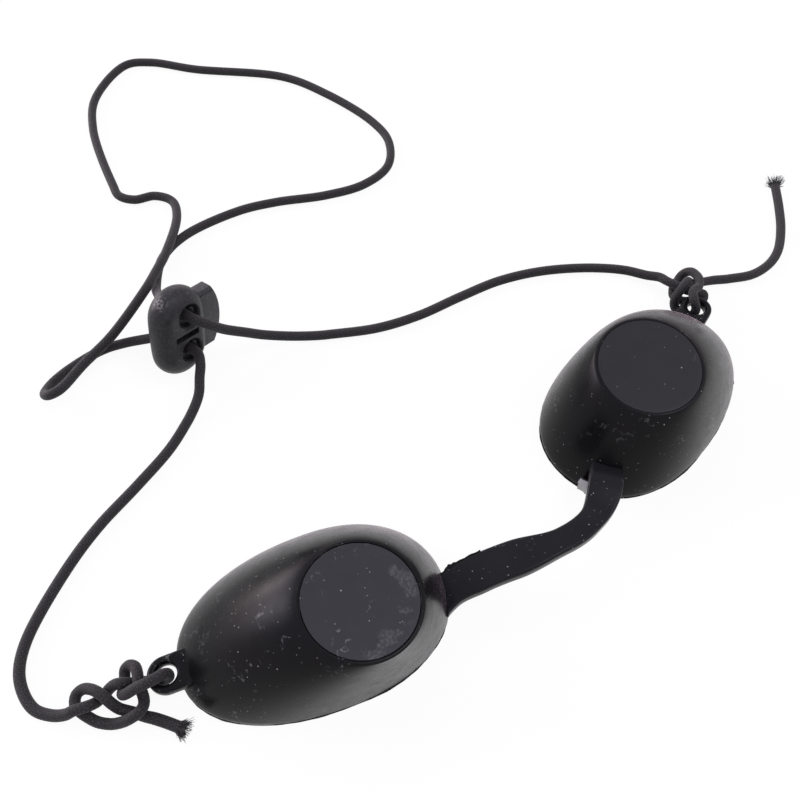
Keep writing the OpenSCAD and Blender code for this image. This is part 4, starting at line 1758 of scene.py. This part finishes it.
RIGHT_KNOT = laid(
    (67.3, 21.1, 2.6), (67.3, 19.1, 3.2), (67.7, 17.3, 3.4), (68.3, 15.7, 3.2),
    (69.3, 14.5, 2.8), (70.3, 13.5, 2.6), (71.3, 12.7, 2.4), (72.1, 11.9, 1.9),
    (71.5, 11.3, 1.3), (70.3, 11.7), (69, 12.8), (67.9, 13.5),
    (67.1, 14.7), (67.1, 16.1), (67.9, 17.1), (69.3, 18.1),
    (71.1, 18.7, 1.1), (72.1, 18.9, 1.8), (72.9, 18.5, 2.8), (73.3, 17.5, 3.7),
    (72.9, 15.7, 4.4), (71.9, 14.1, 4.9), (69.9, 12.7, 5.3), (68.4, 12.5, 5.8),
    (66.9, 11.8, 6.1), (66.2, 10.9, 6.1), (65.8, 10.1, 5.7), (65.9, 9.3, 4.4),
    (65.8, 9.1, 2.8), (65.4, 9.8, 1.5), (65.3, 10.8), (64.9, 12.1),
    (64.7, 13.4, 1.3), (64.9, 14.2, 2.4), (65.5, 14.5, 3.7), (66.7, 14.7, 4.7),
    (68.3, 15.1, 5.2), (69.6, 15.5, 4.9), (70.9, 15.7, 3.5), (72.3, 15.6, 2.2),
    (74, 15.1, 1.7), (75.7, 14.5, 1.5), (77.7, 13.7, 1.3),
)
RIGHT_TAIL = laid(
    (81, 12), (86.2, 9.7), (91.6, 9.5), (96.5, 11),
    (102.4, 15.1), (108, 20.5), (113, 26),
)
# Place of the left ear's hole, and middle and radius of each scuff on the left disc.
LEFT_EAR = (-66.6, 7.7, 3.4)
LEFT_SCUFFS = (
    (-27.6, -6.4, 1.6), (-27.0, -8.4, 1.9), (-27.6, -10.6, 1.7), (-30.6, -13.4, 2.0),
    (-33.2, -14.6, 1.4), (-35.4, -14.6, 2.2), (-38.2, -14.8, 2.4), (-28.4, -0.4, 1.6),
    (-31.0, -0.2, 1.4),
)


def build_cord() -> None:
    """Build the three stretches of the cord with their frayed ends.
    """
    sleeve = BraidedSleeve("elastic_braid").material()
    fibre = Fibre("cut_fibres").material()
    left_route = (*LEFT_TAIL, *LEFT_KNOT[::-1], *LEFT_RUN[1:])
    left = Cord(
        "cord_left_strand",
        left_route,
        exit=LEFT_EAR,
        far_end="fitting",
        replaces=("cord_left_run", "left_knot", "left_tail"),
        finish=sleeve,
        knot=(len(LEFT_TAIL), len(LEFT_TAIL) + len(LEFT_KNOT) - 1),
    )
    loop = Cord(
        "cord_loop_strand",
        BACK_LOOP,
        exit=LOWER_BACK,
        far_end="object",
        replaces=("cord_back_loop",),
        finish=sleeve,
    )
    right = Cord(
        "cord_right_strand",
        (*RIGHT_RUN, *RIGHT_KNOT[1:], *RIGHT_TAIL),
        exit=UPPER_FRONT,
        far_end="bare",
        replaces=("cord_right_run", "right_knot", "right_tail"),
        finish=sleeve,
        knot=(len(RIGHT_RUN) - 1, len(RIGHT_RUN) + len(RIGHT_KNOT) - 2),
    )
    for cord in (left, loop, right):
        cord.build()
    near = FrayedEnd("left_frayed_end", LEFT_TAIL[0], (0.55, -0.83, 0.05), fibre, seed=3)
    far = FrayedEnd(
        "right_frayed_end", RIGHT_TAIL[-1], (0.67, 0.74, 0.1), fibre, seed=8, spread=1.9
    )
    near_end, far_end = near.build(), far.build()
    left.declare()
    loop.declare()
    right.declare()


def main() -> None:
    """Build the goggles, class by class, around the frame."""
    logging.basicConfig(level=logging.INFO, format="%(name)s %(message)s")
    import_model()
    Studio().build()
    rubber = Rubber("moulded_rubber").material()
    steel = Steel("shield_steel", level=0.3, roughness=0.42).material()
    left = CupShape(Side.LEFT, disc_nose=4.8, disc_brow=6.0, offset=38.3, back=0.1, toe=15.0)
    right = CupShape(
        Side.RIGHT, disc_nose=3.2, disc_brow=0.6, offset=38.5, back=-0.5, toe=12.5, ear_turn=7.0
    )
    discs = {
        Side.LEFT: ScuffedRubber("left_disc_rubber", scuffs=LEFT_SCUFFS).material(),
        Side.RIGHT: ScuffedRubber("right_disc_rubber", level=0.009).material(),
    }
    grooves = {Side.LEFT: 0.13, Side.RIGHT: 0.03}
    for shape in (left, right):
        EyeCup(shape, rubber).build()
        FrontDisc(shape, discs[shape.side], grooves[shape.side]).build()
        InnerShield(shape, steel).build()
    # The strap's rubber is a lighter copy of the cups' rubber: painted light that brightens the
    # strap.
    strap = NoseStrap(left, right, Rubber("strap_rubber_painted_lighter", level=0.012, roughness=0.19).material())
    strap.build()
    MouldFlash((left, right), strap, rubber).build()
    lock = CordLock(
        Plastic("lock_plastic", worn_place=(-31.5, 67.4, 19.9)).material(),
        Plastic("button_plastic", level=0.05).material(),
        Steel("spring_wire").material(),
    ).build()
    build_cord()


if __name__ == "__main__":
    main()
